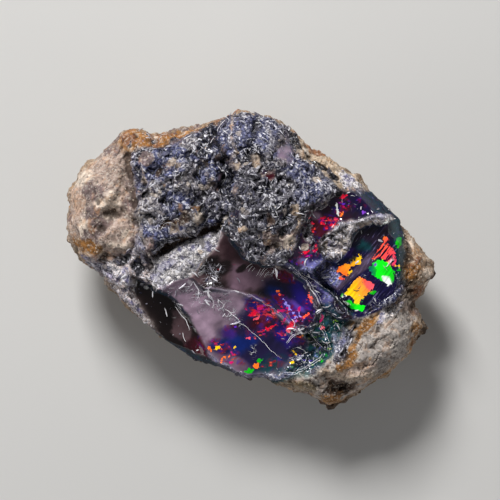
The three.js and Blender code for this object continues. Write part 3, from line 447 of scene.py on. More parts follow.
# the strong panes of fire: border, then one hue where it is purest and the other one where that is
panes = {
    "coral": ([(8.8, 0.0), (9.2, 0.6), (9.6, 1.2), (9.9, 1.7), (10.1, 1.5), (10.0, 1.1), (10.4, 0.9),
        (10.6, 0.2), (10.6, -0.4), (10.2, -0.5), (9.7, 0.1), (9.3, 0.2)], "coral", (9.6, 0.8),
        "magenta", (11.2, -0.6)),
    "green": ([(8.6, -0.6), (9.2, 0.0), (9.6, 0.0), (10.0, -0.2), (10.5, -0.8), (10.5, -1.4),
        (10.3, -1.8), (9.8, -1.7), (9.4, -1.4), (9.1, -1.3), (8.8, -0.9)], "green", (9.5, -0.6), "leaf",
        (10.6, -1.4)),
    "greenShade": ([(8.6, -0.6), (8.9, -0.3), (9.2, -0.7), (9.1, -1.2), (8.8, -1.0)], "teal",
        (8.7, -0.8), "leaf", (9.2, -0.7)),
    "orange": ([(8.0, -1.2), (8.3, -1.4), (9.1, -1.8), (8.8, -2.3), (8.3, -2.7), (7.8, -3.4),
        (7.6, -3.2), (7.5, -2.8), (6.8, -2.5), (7.2, -2.1), (7.6, -1.5)], "gold", (7.2, -2.5), "coral",
        (8.9, -1.7)),
    "pink": ([(8.2, -1.35), (9.1, -1.8), (8.8, -2.3), (8.5, -2.1), (8.3, -1.8)], "coral", (8.2, -1.7),
        "rose", (9.0, -1.8)),
    "yellow": ([(7.8, -1.5), (7.8, -2.0), (7.5, -2.8), (6.8, -2.5), (7.2, -2.1)], "gold", (7.2, -2.4),
        "amber", (8.1, -1.6)),
    "hook": ([(8.0, 0.3), (8.2, 0.1), (8.0, -0.3), (7.7, -0.3), (7.3, -0.6), (7.1, -0.8), (7.1, -1.2),
        (6.9, -1.2), (6.7, -1.1), (6.4, -0.8), (6.5, -0.5), (6.9, -0.3), (7.3, -0.3), (7.6, 0.0),
        (7.8, 0.2)], "gold", (8.0, 0.1), "orange", (6.9, -1.0)),
    "foot": ([(6.9, -3.1), (7.4, -3.6), (8.2, -3.8), (8.4, -3.4), (8.0, -3.3), (7.5, -3.2),
        (7.2, -2.9)], "green", (7.8, -3.5), "leaf", (7.0, -3.0)),
    # a white painted highlight on the green pane
    "paintedGlint": ([(9.6, -1.2), (10.1, -1.3), (10.3, -1.8), (10.0, -1.9), (9.7, -1.6)], "white",
        (10.0, -1.6), "white", (10.1, -1.7)),
}

# smaller flecks of fire by hue: middle, half length and half width, turn in degrees
flecks = {
    "gold": [(7.95, 0.35, 0.16, 0.07, 30), (7.3, -0.9, 0.16, 0.07, 60), (10.75, -0.45, 0.18, 0.08, 0),
        (-1.1, -6.55, 0.22, 0.09, 60), (3.2, -6.85, 0.18, 0.09, -50), (-2.4, -6.55, 0.22, 0.14, 20),
        (3.1, -7.6, 0.14, 0.1, 0)],
    "orange": [(6.6, -1.3, 0.18, 0.07, 20), (6.35, -0.9, 0.14, 0.06, 80), (0.5, -7.85, 0.26, 0.22, 0),
        (-2.9, -6.6, 0.22, 0.11, -60), (6.65, 3.35, 0.2, 0.13, 60), (-2.05, -7.4, 0.22, 0.05, 85),
        (-1.83, -7.3, 0.22, 0.05, 85), (-1.48, -7.1, 0.18, 0.05, 80), (9.8, 1.7, 0.2, 0.07, 45),
        (2.0, -2.3, 0.2, 0.1, 20), (4.0, -4.2, 0.2, 0.12, 60)],
    "coral": [(6.7, -1.4, 0.16, 0.09, 0), (4.4, -2.8, 0.36, 0.12, -70), (4.1, -4.1, 0.3, 0.1, 40),
        (2.15, -2.6, 0.2, 0.1, -60)],
    "rose": [(2.9, -5.0, 0.6, 0.24, 55), (0.0, -5.8, 0.32, 0.07, 0), (5.3, -5.0, 0.24, 0.18, 60),
        (1.9, -3.9, 0.3, 0.09, 20), (0.55, -4.3, 0.3, 0.1, 35)],
    "red": [(3.05, -4.75, 0.5, 0.17, 40), (0.25, -3.95, 0.42, 0.15, 35), (1.25, -5.1, 0.58, 0.08, 23),
        (5.8, 2.85, 0.35, 0.08, -55), (6.25, 2.6, 0.35, 0.07, -5), (6.8, 4.6, 0.3, 0.15, 30),
        (4.0, 0.55, 0.25, 0.12, 20)],
    "magenta": [(2.3, -3.75, 0.36, 0.13, 10), (0.75, -3.6, 0.36, 0.14, 30), (2.5, -4.5, 0.3, 0.1, 60),
        (5.2, -4.3, 0.3, 0.1, 80), (-1.35, -7.65, 0.22, 0.15, 0), (3.55, -3.7, 0.2, 0.12, 60)],
    # pale violet streaks of painted highlight
    "paleVioletHighlight": [(2.95, -3.6, 0.5, 0.05, -55), (3.2, -3.95, 0.4, 0.05, -50), (2.6, -3.3, 0.35, 0.045, -60),
        (3.3, -4.4, 0.3, 0.06, -80), (3.6, -4.1, 0.3, 0.05, -65), (1.2, -4.4, 0.3, 0.04, 20)],
    "violet": [(8.2, 3.5, 0.15, 0.12, 0), (9.1, -0.35, 0.12, 0.1, 60)],
    "leaf": [(0.7, -7.45, 0.24, 0.16, 30), (-0.05, -8.25, 0.36, 0.2, 10), (10.8, 1.3, 0.48, 0.24, 80),
        (8.85, -2.45, 0.3, 0.12, 12), (8.2, -2.95, 0.2, 0.08, 30), (5.2, -7.4, 0.22, 0.11, 90),
        (5.65, -7.0, 0.14, 0.08, 60), (10.9, -0.75, 0.15, 0.1, 0), (6.7, -2.6, 0.2, 0.1, 40)],
    "olive": [(7.5, 0.1, 0.3, 0.16, 30)],
    # the white flecks are painted glints
    "white": [(6.35, 3.7, 0.5, 0.11, 95), (6.8, -2.75, 0.22, 0.08, 20), (7.0, -3.2, 0.2, 0.06, -30),
        (9.9, 2.8, 0.4, 0.12, 35), (10.3, -0.1, 0.18, 0.06, 60)],
}
hues = {
    "green": (10, 240, 26), "leaf": (14, 168, 20), "teal": (8, 82, 92), "gold": (255, 204, 14),
    "orange": (255, 116, 34), "amber": (255, 150, 24), "coral": (252, 82, 60), "olive": (48, 44, 20),
    "red": (214, 14, 50), "magenta": (198, 16, 100), "violet": (124, 62, 190), "white": (226, 230, 226),
    "paleVioletHighlight": (150, 136, 226), "rose": (236, 84, 104),
}


def smoothStep(value, low, high):
    t = np.clip((value - low) / (high - low), 0, 1)
    return t * t * (3 - 2 * t)


def distanceToPath(x, y, path):
    nearest = np.full(x.shape, np.inf)
    for (ax, ay), (bx, by) in zip(path, path[1:]):
        t = ((x - ax) * (bx - ax) + (y - ay) * (by - ay)) / ((bx - ax) ** 2 + (by - ay) ** 2)
        t = np.clip(t, 0, 1)
        nearest = np.minimum(nearest, np.hypot(x - ax - t * (bx - ax), y - ay - t * (by - ay)))
    return nearest


def depthInside(x, y, border):
    # distance to a closed border, positive inside it
    inside = np.zeros(x.shape, dtype=bool)
    for (ax, ay), (bx, by) in zip(border, border[1:] + border[:1]):
        if ay != by:
            inside ^= ((ay > y) != (by > y)) & (x < ax + (bx - ax) * (y - ay) / (by - ay))
    distance = distanceToPath(x, y, border + border[:1])
    return np.where(inside, distance, -distance)


def ellipseDistance(x, y, middle, halfLength, halfWidth, turn, corners=2.0):
    # 0 in the middle of a turned ellipse, 1 on its border; below 2, corners draw it out to a lozenge
    c, s = math.cos(math.radians(turn)), math.sin(math.radians(turn))
    dx, dy = x - middle[0], y - middle[1]
    along = np.abs(dx * c + dy * s) / halfLength
    across = np.abs(dy * c - dx * s) / halfWidth
    return (along ** corners + across ** corners) ** (1 / corners)


def roundedMinimum(a, b, rounding):
    h = np.maximum(rounding - np.abs(a - b), 0) / rounding
    return np.minimum(a, b) - h * h * rounding / 4


def latticeValue(i, j, k):
    # scrambles three whole numbers to a fixed value between -1 and 1
    wave = np.sin(i * 127.1 + j * 311.7 + k * 74.7) * 43758.5453
    return 2 * (wave - np.floor(wave)) - 1


def smoothNoise(x, y, z):
    # fixed values on a unit lattice, blended smoothly in between
    i, j, k = np.floor(x), np.floor(y), np.floor(z)
    u, v, w = (t * t * (3 - 2 * t) for t in (x - i, y - j, z - k))
    value = 0
    for stepX, shareX in ((0, 1 - u), (1, u)):
        for stepY, shareY in ((0, 1 - v), (1, v)):
            for stepZ, shareZ in ((0, 1 - w), (1, w)):
                value = value + shareX * shareY * shareZ * latticeValue(i + stepX, j + stepY, k + stepZ)
    return value


def lumpiness(x, y, z):
    # broad and small lumps, each on a lattice that is turned its own way
    broad = smoothNoise(0.62 * x + 0.3 * y, 0.62 * y - 0.3 * x, 0.6 * z)
    small = smoothNoise(1.5 * x - 0.4 * y + 20, 1.5 * y + 0.4 * x, 1.3 * z)
    return 0.9 * broad + 0.6 * small


def noiseAt(points, perMm, octaves=3, shift=0.0):
    # fractal noise, about -1 to 1; each shift gives another pattern, and each octave is turned, so that
    # the lattice doesn't show
    x, y, z = (points[:, k] * perMm + shift for k in range(3))
    total, share = 0, 0.6
    for octave in range(octaves):
        total = total + share * smoothNoise(x, y, z)
        x, y, z = 1.6 * x + 1.2 * z + 5.1, 1.5 * y - 1.3 * x + 9.7, 1.8 * z + 0.9 * y + 2.3
        share *= 0.5
    return total


def clumpsAt(points, perMm):
    # 0 on the seams between clumps, rising towards their middles
    near = [noise.voronoi(Vector(p))[0] for p in points * perMm]
    return np.array([d[1] - d[0] for d in near])


def flatPoints(x, y):
    return np.stack([x, y, np.zeros_like(x)], axis=1)


def geodesicSphere(detail):
    # an icosahedron with each face cut into detail + 1 strips, pushed out to a sphere
    golden = (1 + 5 ** 0.5) / 2
    corners = np.array([
        (-1, golden, 0), (1, golden, 0), (-1, -golden, 0), (1, -golden, 0), (0, -1, golden),
        (0, 1, golden), (0, -1, -golden), (0, 1, -golden), (golden, 0, -1), (golden, 0, 1),
        (-golden, 0, -1), (-golden, 0, 1),
    ])
    triangles = [
        (0, 11, 5), (0, 5, 1), (0, 1, 7), (0, 7, 10), (0, 10, 11), (1, 5, 9), (5, 11, 4), (11, 10, 2),
        (10, 7, 6), (7, 1, 8), (3, 9, 4), (3, 4, 2), (3, 2, 6), (3, 6, 8), (3, 8, 9), (4, 9, 5), (2, 4, 11),
        (6, 2, 10), (8, 6, 7), (9, 8, 1),
    ]
    n = detail + 1
    rows, places = [], {}
    for i in range(n + 1):
        for j in range(n + 1 - i):
            places[i, j] = len(rows)
            rows.append((n - i - j, i, j))
    weights = np.array(rows) / n
    small = []
    for i in range(n):
        for j in range(n - i):
            small.append((places[i, j], places[i + 1, j], places[i, j + 1]))
            if i + j < n - 1:
                small.append((places[i + 1, j], places[i + 1, j + 1], places[i, j + 1]))
    points = np.concatenate([weights @ corners[list(t)] for t in triangles])
    points /= np.linalg.norm(points, axis=1)[:, None]
    indices = np.concatenate([np.array(small) + k * len(rows) for k in range(len(triangles))])
    # the seams between the twenty faces are joined
    rounded = np.round(points * 1e5)
    first, inverse = np.unique(rounded, axis=0, return_index=True, return_inverse=True)[1:]
    return points[first], inverse.reshape(-1)[indices]


def reachOfOutline(ux, uy):
    # distance from the middle of the stone to its outline, in the direction (ux, uy)
    reach = np.full(ux.shape, np.inf)
    outline = stone["outline"]
    for (ax, ay), (bx, by) in zip(outline, outline[1:] + outline[:1]):
        turn = ux * (by - ay) - uy * (bx - ax)
        turn = np.where(np.abs(turn) < 1e-12, 1e-12, turn)
        distance = (ax * by - ay * bx) / turn
        along = (ax * uy - ay * ux) / turn
        hit = (distance > 0) & (along >= -1e-9) & (along <= 1 + 1e-9)
        reach = np.where(hit, np.minimum(reach, distance), reach)
    return reach


def faceShares(x, y):
    # how much each face of the top counts at a point, adding up to 1
    shares = {}
    for name, face in faces.items():
        depth = depthInside(x, y, face["border"])
        shares[name] = smoothStep(depth, -face["edge"], face["edge"]) + 1e-6 / (1 + depth * depth)
    total = sum(shares.values())
    return {name: share / total for name, share in shares.items()}


def faceHeight(x, y, shares):
    height = np.zeros(x.shape)
    lump = lumpiness(x, y, 3)
    for name, face in faces.items():
        (mx, my), (riseX, riseY) = face["middle"], face["rise"]
        plane = face["level"] + riseX * (x - mx) + riseY * (y - my)
        plane = plane + face["hollow"] * ((x - mx) ** 2 + (y - my) ** 2)
        height += shares[name] * (plane + face["lumps"] * lump)
    return height


def creaseHeight(x, y):
    # how far the creases and bosses stand out, and where each marks the surface with its tone
    height = np.zeros(x.shape)
    marks = []
    rough = noiseAt(flatPoints(x, y), 1.3, 3, 17.7)
    for path, stand, width, tone, toneWidth in creases.values():
        distance = distanceToPath(x, y, path)
        height += stand * (1 + 0.5 * rough) * np.exp(-(distance / width) ** 1.4)
        if tone:
            marks.append((tone, (0.8 + 0.5 * rough) * np.exp(-(distance / toneWidth) ** 2)))
    for (mx, my), stand, radius in bosses:
        height += stand * np.exp(-((x - mx) ** 2 + (y - my) ** 2) / radius ** 2)
    return height, marks


def normalsOf(points, triangles):
    a, b, c = (points[triangles[:, k]] for k in range(3))
    across = np.cross(b - a, c - a)
    normals = np.zeros(points.shape)
    for k in range(3):
        np.add.at(normals, triangles[:, k], across)
    return normals / np.maximum(np.linalg.norm(normals, axis=1), 1e-12)[:, None]


def placeOnStone(directions):
    # moves the points of a sphere to the rounded body, before any face is broken out of it
    up = directions[:, 2]
    sideways = np.hypot(directions[:, 0], directions[:, 1])
    ux = np.where(sideways > 1e-6, directions[:, 0] / np.maximum(sideways, 1e-6), 1)
    uy = np.where(sideways > 1e-6, directions[:, 1] / np.maximum(sideways, 1e-6), 0)
    moved = (1 - up) / 2
    moved = (1 - stone["meshMovedUp"]) * moved + stone["meshMovedUp"] * moved ** 4
    up = 1 - 2 * moved
    sideways = np.sqrt(np.maximum(0, 1 - up ** 2))
    isTop = up >= 0
    upright = np.abs(up)
    fullness = np.where(isTop, stone["topFullness"], stone["undersideFullness"])
    fill = (sideways ** fullness + upright ** fullness) ** (-1 / fullness)
    lift = upright * fill
    outline = reachOfOutline(ux, uy)
    girth = stone["girthHeight"] + stone["girthRise"] * outline * uy
    body = np.where(isTop, girth + lift * (stone["skinTop"] - girth),
                    girth - lift * (girth + stone["restDepth"]))
    # away from the girth the wall draws in by lumps of its own
    offGirth = 1 - np.exp(-(lift / 0.3) ** 2)
    wallLump = 0.5 + 0.5 * lumpiness(ux * 5, uy * 5, body * 0.5)
    reach = outline * sideways * fill * (1 - stone["wallDrawnIn"] * offGirth * wallLump)
    x, y = ux * reach, uy * reach
    z = body + stone["bodyLumps"] * lift * lumpiness(x, y, body)
    return x, y, z, lift, isTop


def shapeStone():
    directions, triangles = geodesicSphere(stone["meshDetail"])
    x, y, z, lift, isTop = placeOnStone(directions)
    # ragged borders: the faces are looked up a little beside each point
    flat = flatPoints(x, y)
    raggedX = x + stone["raggedness"] * noiseAt(flat, 1.1, 4, 11.3)
    raggedY = y + stone["raggedness"] * noiseAt(flat, 1.1, 4, 47.9)
    shares = faceShares(raggedX, raggedY)
    creased, marks = creaseHeight(raggedX, raggedY)
    glassy = sum(shares[name] for name in ("redSlope", "brightFacet", "lowerBowl", "darkSide"))
    rounding = stone["topRounding"] - stone["lessRoundOnGlass"] * glassy
    top = roundedMinimum(z, faceHeight(x, y, shares), rounding) + creased * np.minimum(1, 2 * lift)
    under = z
    for (mx, my), level, (riseX, riseY) in undersideBreaks:
        plane = level + riseX * (x - mx) + riseY * (y - my)
        under = -roundedMinimum(-under, -plane, stone["undersideRounding"])
    z = np.where(isTop, top, np.maximum(under, 0))
    points = np.stack([x, y, z], axis=1)
    climb = np.where(isTop, lift, -lift)
    climb = climb + 0.15 * glassy + 0.2 * noiseAt(points, 0.7, 4, 5.5)
    atSide = 1 - smoothStep(climb, *stone["sideBelow"])
    shares = {name: share * (1 - atSide) for name, share in shares.items()}
    shares["side"] = atSide
    return points, triangles, shares, marks


def meanOfNeighbours(values, triangles):
    total = np.zeros(values.shape)
    count = np.zeros(len(values))
    for a, b in ((0, 1), (1, 2), (2, 0), (1, 0), (2, 1), (0, 2)):
        count += np.bincount(triangles[:, a], minlength=len(values))
        for k in range(values.shape[1]):
            total[:, k] += np.bincount(triangles[:, a], values[triangles[:, b], k], minlength=len(values))
    return total / count[:, None]


# how tones, chips and curls are laid on the stone
laying = {
    "cover": 0.9,  # how fully a tone hides what it lies on
    "wander": 0.6,  # how far soft borders wander
    "patchEdge": 0.1,
    "stainReach": 0.9,  # where a stain's border lies, as a share of its size, and how soft it is
    "stainEdge": 0.25,
    "cloudEdge": 0.55,
    "bareOnPatches": 0.85,  # how much patches of rock, chalk and glass clear the chips away
    "bareOnRock": 0.93,
    "bareOnGlass": 0.85,
    "grainedByFire": 0.6,
    "lumpsOnChalk": 0.4,
    "grainsAbove": (0.4, 1.0),  # the heights between which grains and lumps set in
    "lumpsAbove": (2, 3),
}


def coverOf(x, y, ellipse, full, gone):
    return 1 - smoothStep(ellipseDistance(x, y, *ellipse), full, gone)


def paintFinish(points, shares, marks):
    # the tone of every point, its share of crust, host rock, chalk and glass, and what lies on it or in it
    tint = np.zeros((len(points), 3))
    kinds = {kind: np.zeros(len(points)) for kind in ("crust", "host", "chalk", "glass")}
    loose, fire, warmth = (np.zeros(len(points)) for k in range(3))
    for face, share in shares.items():
        toneName, faceLoose, faceFire, faceWarmth = finishes[face]
        kind, color = tones[toneName]
        tint += share[:, None] * np.array(color)
        kinds[kind] += share
        loose += share * faceLoose
        fire += share * faceFire
        warmth += share * faceWarmth
    softX = points[:, 0] + laying["wander"] * noiseAt(points, 0.9, 5, 23.1)
    softY = points[:, 1] + laying["wander"] * noiseAt(points, 0.9, 5, 61.7)

    def lay(toneName, cover):
        kind, color = tones[toneName]
        tint[:] += cover[:, None] * (np.array(color) - tint)
        for name in kinds:
            kinds[name] += cover * ((name == kind) - kinds[name])

    bare = np.ones(len(points))
    for face, rows in patches.items():
        for toneName, perMm, shift, rarity in rows:
            found = smoothStep(noiseAt(points, perMm, 4, shift), rarity, rarity + laying["patchEdge"])
            cover = shares[face] * found
            lay(toneName, laying["cover"] * cover)
            if tones[toneName][0] != "crust":
                bare *= 1 - laying["bareOnPatches"] * cover
    for toneName, face, border, edge in pools:
        bend = min(1, 2 * edge)
        x, y = (points[:, k] + bend * (bent - points[:, k]) for k, bent in ((0, softX), (1, softY)))
        depth = depthInside(x, y, border)
        lay(toneName, laying["cover"] * shares[face] * smoothStep(depth, -edge, edge))
    torn = 0.5 * noiseAt(points, 1.7, 3, 12.0)
    for face, rows in stains.items():
        for toneName, middle, (halfLength, halfWidth), turn in rows:
            bend = min(1, halfWidth)
            x, y = ((1 - bend) * points[:, k] + bend * bent for k, bent in ((0, softX), (1, softY)))
            away = torn + ellipseDistance(x, y, middle, halfLength, halfWidth, turn)
            edge = laying["cloudEdge"] if toneName in clouds else laying["stainEdge"]
            inside = 1 - smoothStep(away, laying["stainReach"] - edge, laying["stainReach"] + edge)
            lay(toneName, laying["cover"] * shares[face] * inside)
    for toneName, cover in marks:
        lay(toneName, np.clip(cover, 0, 1) * (1 - shares["side"]))
    uneven = 0.75 + 0.5 * noiseAt(points, 0.7, 3, 90.0)
    loose *= bare * (1 - laying["bareOnRock"] * kinds["host"]) * uneven
    loose *= 1 - laying["bareOnGlass"] * kinds["glass"] * (shares["leftCrust"] + shares["peakCrust"])
    curls = np.zeros(len(points))
    for ellipse in chipDrifts:
        loose = np.maximum(loose, coverOf(softX, softY, ellipse, 0.4, 1.1) * (1 - shares["side"]))
    for *ellipse, thickness in fireDrifts:
        fire = np.maximum(fire, thickness * coverOf(softX, softY, ellipse, 0.4, 1.4))
    for ellipse in curlDrifts:
        curls = np.maximum(curls, coverOf(softX, softY, ellipse, 0.2, 1.3) * (1 - shares["side"]))
    values = {"loose": loose, "curls": curls, "fire": fire * kinds["glass"], "warmth": warmth}
    values["grained"] = np.clip(shares["brightFacet"] + laying["grainedByFire"] * fire, 0, 1)
    values["grainy"] = kinds["host"] * smoothStep(points[:, 2], *laying["grainsAbove"])
    values["lumpy"] = kinds["crust"] + laying["lumpsOnChalk"] * kinds["chalk"]
    values["lumpy"] *= smoothStep(points[:, 2], *laying["lumpsAbove"])
    values["lumpy"] *= 1 - shares["side"] - shares["redSlope"]
    return srgbToLinear(tint), kinds, values


def srgbToLinear(color):
    color = np.asarray(color) / 255
    return np.where(color < 0.04045, color / 12.92, ((color + 0.055) / 1.055) ** 2.4)


def layFire(points):
    # signed distance to the nearest patch of fire, positive inside it, and the hue there
    x, y = points[:, 0], points[:, 1]
    found = []
    for border, hue, (ax, ay), otherHue, (bx, by) in panes.values():
        along = ((x - ax) * (bx - ax) + (y - ay) * (by - ay)) / ((bx - ax) ** 2 + (by - ay) ** 2)
        share = np.clip(along, 0, 1)[:, None]
        color = (1 - share) * srgbToLinear(hues[hue]) + share * srgbToLinear(hues[otherHue])
        found.append((color, depthInside(x, y, border)))
    for hue, rows in flecks.items():
        for mx, my, halfLength, halfWidth, turn in rows:
            away = ellipseDistance(x, y, (mx, my), halfLength, halfWidth, turn, 1.4)
            found.append((srgbToLinear(hues[hue]), (1 - away) * halfWidth))
    near = 0.06  # how close to a patch its hue begins
    edge = np.full(len(points), -9.0)
    tint = np.zeros((len(points), 3))
    for color, depth in found:
        over = np.maximum(smoothStep(depth, -near, 0.02), (depth > edge) * (edge < -near))
        tint += over[:, None] * (color - tint)
        edge = np.maximum(edge, depth)
    # dark lines cut through the fire in the coral pane alone
    coral, green = (depthInside(x, y, panes[name][0]) for name in ("coral", "green"))
    return edge, tint, smoothStep(coral, -0.1, 0) * (1 - smoothStep(green, -0.1, 0))


def addRelief(points, triangles, kinds, shares):
    # moves every point along its normal, by kind of surface
    clumps = clumpsAt(points, 1.5) - 0.35
    folds = 1 - 2 * np.abs(noiseAt(points, 2.3, 2, 3.1))
    grit = noiseAt(points, 3.4, 2, 8.8)
    swell = noiseAt(points, 1.0, 4, 31.0)
    pits = smoothStep(noiseAt(points, 1.7, 3, 77.0), 0.32, 0.7)
    cracks = smoothStep(0.07 - np.abs(noiseAt(points, 0.8, 4, 91.0)), 0, 0.07)
    size = relief["crust"]
    crust = size["clumps"] * clumps + size["folds"] * (folds - 0.4) + size["grit"] * grit
    crust = crust + size["swell"] * swell - size["pits"] * pits
    size = relief["host"]
    host = size["swell"] * swell - size["pits"] * pits + size["clumps"] * clumps
    host = (1 - size["plainMatrix"] * shares["matrixBlock"]) * host + size["grit"] * grit
    host = host - size["cracks"] * cracks
    host = host * (1 - size["plainNodule"] * shares["nodule"])
    host = host + size["noduleSwell"] * shares["nodule"] * noiseAt(points, 0.75, 2, 44.0)
    host += size["rimGrit"] * shares["ochreRim"] * grit
    size = relief["chalk"]
    chalk = size["clumps"] * clumps + size["swell"] * swell + size["folds"] * folds + size["grit"] * grit
    chalk = chalk - size["cracks"] * cracks
    chalk = chalk * (1 + shares["ledgeRock"] - size["plainBlock"] * shares["paleBlock"])
    size = relief["glass"]
    glass = size["swell"] * noiseAt(points, 0.5, 2, 13.0)
    for (mx, my), wavelength, depth in ripples:
        away = np.hypot(points[:, 0] - mx, points[:, 1] - my)
        glass = glass + depth * np.exp(-away / 4) * np.sin(2 * np.pi * away / wavelength)
    glass = glass * (1 - size["plainFacet"] * shares["brightFacet"])
    glass = glass + size["ridgeFolds"] * shares["ridge"] * folds
    glass = glass + shares["chips"] * (size["chipClumps"] * clumps + size["chipFolds"] * folds)
    made = kinds["crust"] * crust + kinds["host"] * host + kinds["chalk"] * chalk + kinds["glass"] * glass
    made *= smoothStep(points[:, 2], 0, relief["fadesBelow"])
    return points + made[:, None] * normalsOf(points, triangles)


def fitToCad(points):
    low, high = (np.array(corner) / mm for corner in cadBox)
    share = (points - points.min(axis=0)) / (points.max(axis=0) - points.min(axis=0))
    return low + share * (high - low)


def hollowness(points, triangles):
    # above 0 in pits and below 0 on edges, from how far the smoothed stone lies outside the real one; the
    # pits are darkened by it as painted shade
    smoothed = points
    for k in range(stone["smoothings"]):
        smoothed = meanOfNeighbours(smoothed, triangles)
    outside = np.sum((smoothed - points) * normalsOf(points, triangles), axis=1)
    return np.clip(outside / stone["hollowDepth"], -1, 1)


def meshFrom(name, points, triangles):
    mesh = bpy.data.meshes.new(name)
    mesh.vertices.add(len(points))
    mesh.vertices.foreach_set("co", np.asarray(points, dtype=np.float32).ravel())
    mesh.loops.add(3 * len(triangles))
    mesh.loops.foreach_set("vertex_index", np.asarray(triangles, dtype=np.int32).ravel())
    mesh.polygons.add(len(triangles))
    mesh.polygons.foreach_set("loop_start", np.arange(0, 3 * len(triangles), 3, dtype=np.int32))
    mesh.update()
    mesh.validate()
    mesh.shade_smooth()
    piece = bpy.data.objects.new(name, mesh)
    bpy.context.scene.collection.objects.link(piece)
    return piece


def giveValues(piece, name, values):
    layer = piece.data.attributes.new(name, "FLOAT", "POINT")
    layer.data.foreach_set("value", np.asarray(values, dtype=np.float32))


def giveColors(piece, name, colors):
    layer = piece.data.attributes.new(name, "FLOAT_COLOR", "POINT")
    rgba = np.concatenate([colors, np.ones((len(colors), 1))], axis=1)
    layer.data.foreach_set("color", rgba.astype(np.float32).ravel())


def makeStone():
    points, triangles, shares, marks = shapeStone()
    print("form shaped:", len(points), "points", len(triangles), "triangles")
    tint, kinds, values = paintFinish(points, shares, marks)
    edge, fireTint, values["cut"] = layFire(points)
    points = fitToCad(addRelief(points, triangles, kinds, shares))
    values["steep"] = 1 - smoothStep(normalsOf(points, triangles)[:, 2], *stone["steepFrom"])
    values["fireEdge"] = np.where(shares["side"] < 0.5, edge, -1)
    values["hollow"] = hollowness(points, triangles)
    piece = meshFrom("opalStone", points * mm, triangles)
    giveColors(piece, "tint", tint)
    giveColors(piece, "fireTint", fireTint)
    for name, numbers in (kinds | values).items():
        giveValues(piece, name, numbers)
    print("stone made")
    return piece


# node helpers, shared by every material and scatter

def addNode(tree, kind, inputs=None, **settings):
    made = tree.nodes.new(kind)
    for name, value in settings.items():
        setattr(made, name, value)
    for key, value in (inputs or {}).items():
        if isinstance(value, bpy.types.NodeSocket):
            tree.links.new(value, made.inputs[key])
        else:
            made.inputs[key].default_value = value
    return made


def readValue(tree, name):
    return addNode(tree, "ShaderNodeAttribute", attribute_name=name).outputs["Fac"]


def readColor(tree, name):
    return addNode(tree, "ShaderNodeAttribute", attribute_name=name).outputs["Color"]


def calculate(tree, operation, a, b=0.0, clamp=False):
    return addNode(tree, "ShaderNodeMath", {0: a, 1: b}, operation=operation, use_clamp=clamp).outputs[0]


def plus(tree, a, b):
    return calculate(tree, "ADD", a, b)


def times(tree, a, b):
    return calculate(tree, "MULTIPLY", a, b)


def mixColors(tree, share, a, b, blend="MIX"):
    made = addNode(tree, "ShaderNodeMix", {0: share, 6: a, 7: b}, data_type="RGBA", blend_type=blend)
    return made.outputs[2]


def shadeBy(tree, color, shade):
    return mixColors(tree, 1.0, color, shade, "MULTIPLY")


def layTone(tree, color, share, tone):
    # covers a share of the colour with a plain tone, 0-255
    return mixColors(tree, share, color, (*srgbToLinear(tone), 1))


def mixValues(tree, share, a, b):
    return addNode(tree, "ShaderNodeMix", {0: share, 2: a, 3: b}).outputs[0]


def stepUp(tree, value, low, high, least=0.0, most=1.0):
    inputs = {"Value": value, "From Min": low, "From Max": high, "To Min": least, "To Max": most}
    return addNode(tree, "ShaderNodeMapRange", inputs, interpolation_type="SMOOTHSTEP").outputs[0]


def noiseField(tree, place, sizeMm, detail=2.0, distortion=0.0, kind="FBM", output="Fac"):
    inputs = {"Vector": place, "Scale": 1 / (sizeMm * mm), "Detail": detail, "Distortion": distortion}
    return addNode(tree, "ShaderNodeTexNoise", inputs, noise_type=kind).outputs[output]


def cellField(tree, place, sizeMm):
    # cells all over the surface, and three random numbers for each one
    cells = addNode(tree, "ShaderNodeTexVoronoi", {"Vector": place, "Scale": 1 / (sizeMm * mm)}).outputs
    return cells, addNode(tree, "ShaderNodeSeparateColor", {"Color": cells["Color"]}).outputs


def warp(tree, place, sizeMm, byMm):
    # moves the place that a pattern is read at, so that its edges come out ragged
    inputs = {0: noiseField(tree, place, sizeMm, output="Color"), 1: (0.5, 0.5, 0.5)}
    offset = addNode(tree, "ShaderNodeVectorMath", inputs, operation="SUBTRACT").outputs[0]
    inputs = {0: offset, 1: (2 * byMm * mm,) * 3, 2: place}
    return addNode(tree, "ShaderNodeVectorMath", inputs, operation="MULTIPLY_ADD").outputs[0]


def rampColors(tree, value, stops):
    made = addNode(tree, "ShaderNodeValToRGB", {"Fac": value})
    marks = made.color_ramp.elements
    while len(marks) < len(stops):
        marks.new(0.5)
    for mark, (position, color) in zip(marks, stops):
        mark.position = position
        mark.color = (*srgbToLinear(color), 1)
    return made.outputs["Color"]


def newMaterial(name):
    material = bpy.data.materials.new(name)
    material.use_nodes = True
    tree = material.node_tree
    return material, tree, tree.nodes["Principled BSDF"]


def feed(tree, shader, **sources):
    names = {
        "color": "Base Color", "roughness": "Roughness", "normal": "Normal", "coat": "Coat Weight",
        "glow": "Emission Color", "glowStrength": "Emission Strength",
    }
    for key, source in sources.items():
        tree.links.new(source, shader.inputs[names[key]])


# tones of the small marks in each layer of the opal, 0-255
markTones = {
    "ochreGrain": (198, 144, 92), "paleGrain": (226, 216, 204), "darkGrain": (66, 56, 56),
    # the rock, chalk and crust pit tones are painted shade, laid where the stone is hollow
    "rockScratch": (70, 60, 62), "rockThread": (222, 214, 208), "rockPitShade": (54, 40, 32),
    "chalkCrystal": (238, 236, 242), "chalkSpeck": (46, 44, 62), "chalkCrack": (48, 46, 64),
    "chalkLilac": (132, 128, 176), "chalkPitShade": (40, 34, 38), "crustFibre": (232, 230, 236),
    "crustGap": (20, 20, 36), "crustPitShade": (12, 11, 18), "glassStreak": (144, 136, 190),
    "glassDust": (176, 172, 188), "squiggleShadow": (34, 28, 34), "squiggleHighlight": (224, 222, 234),
}

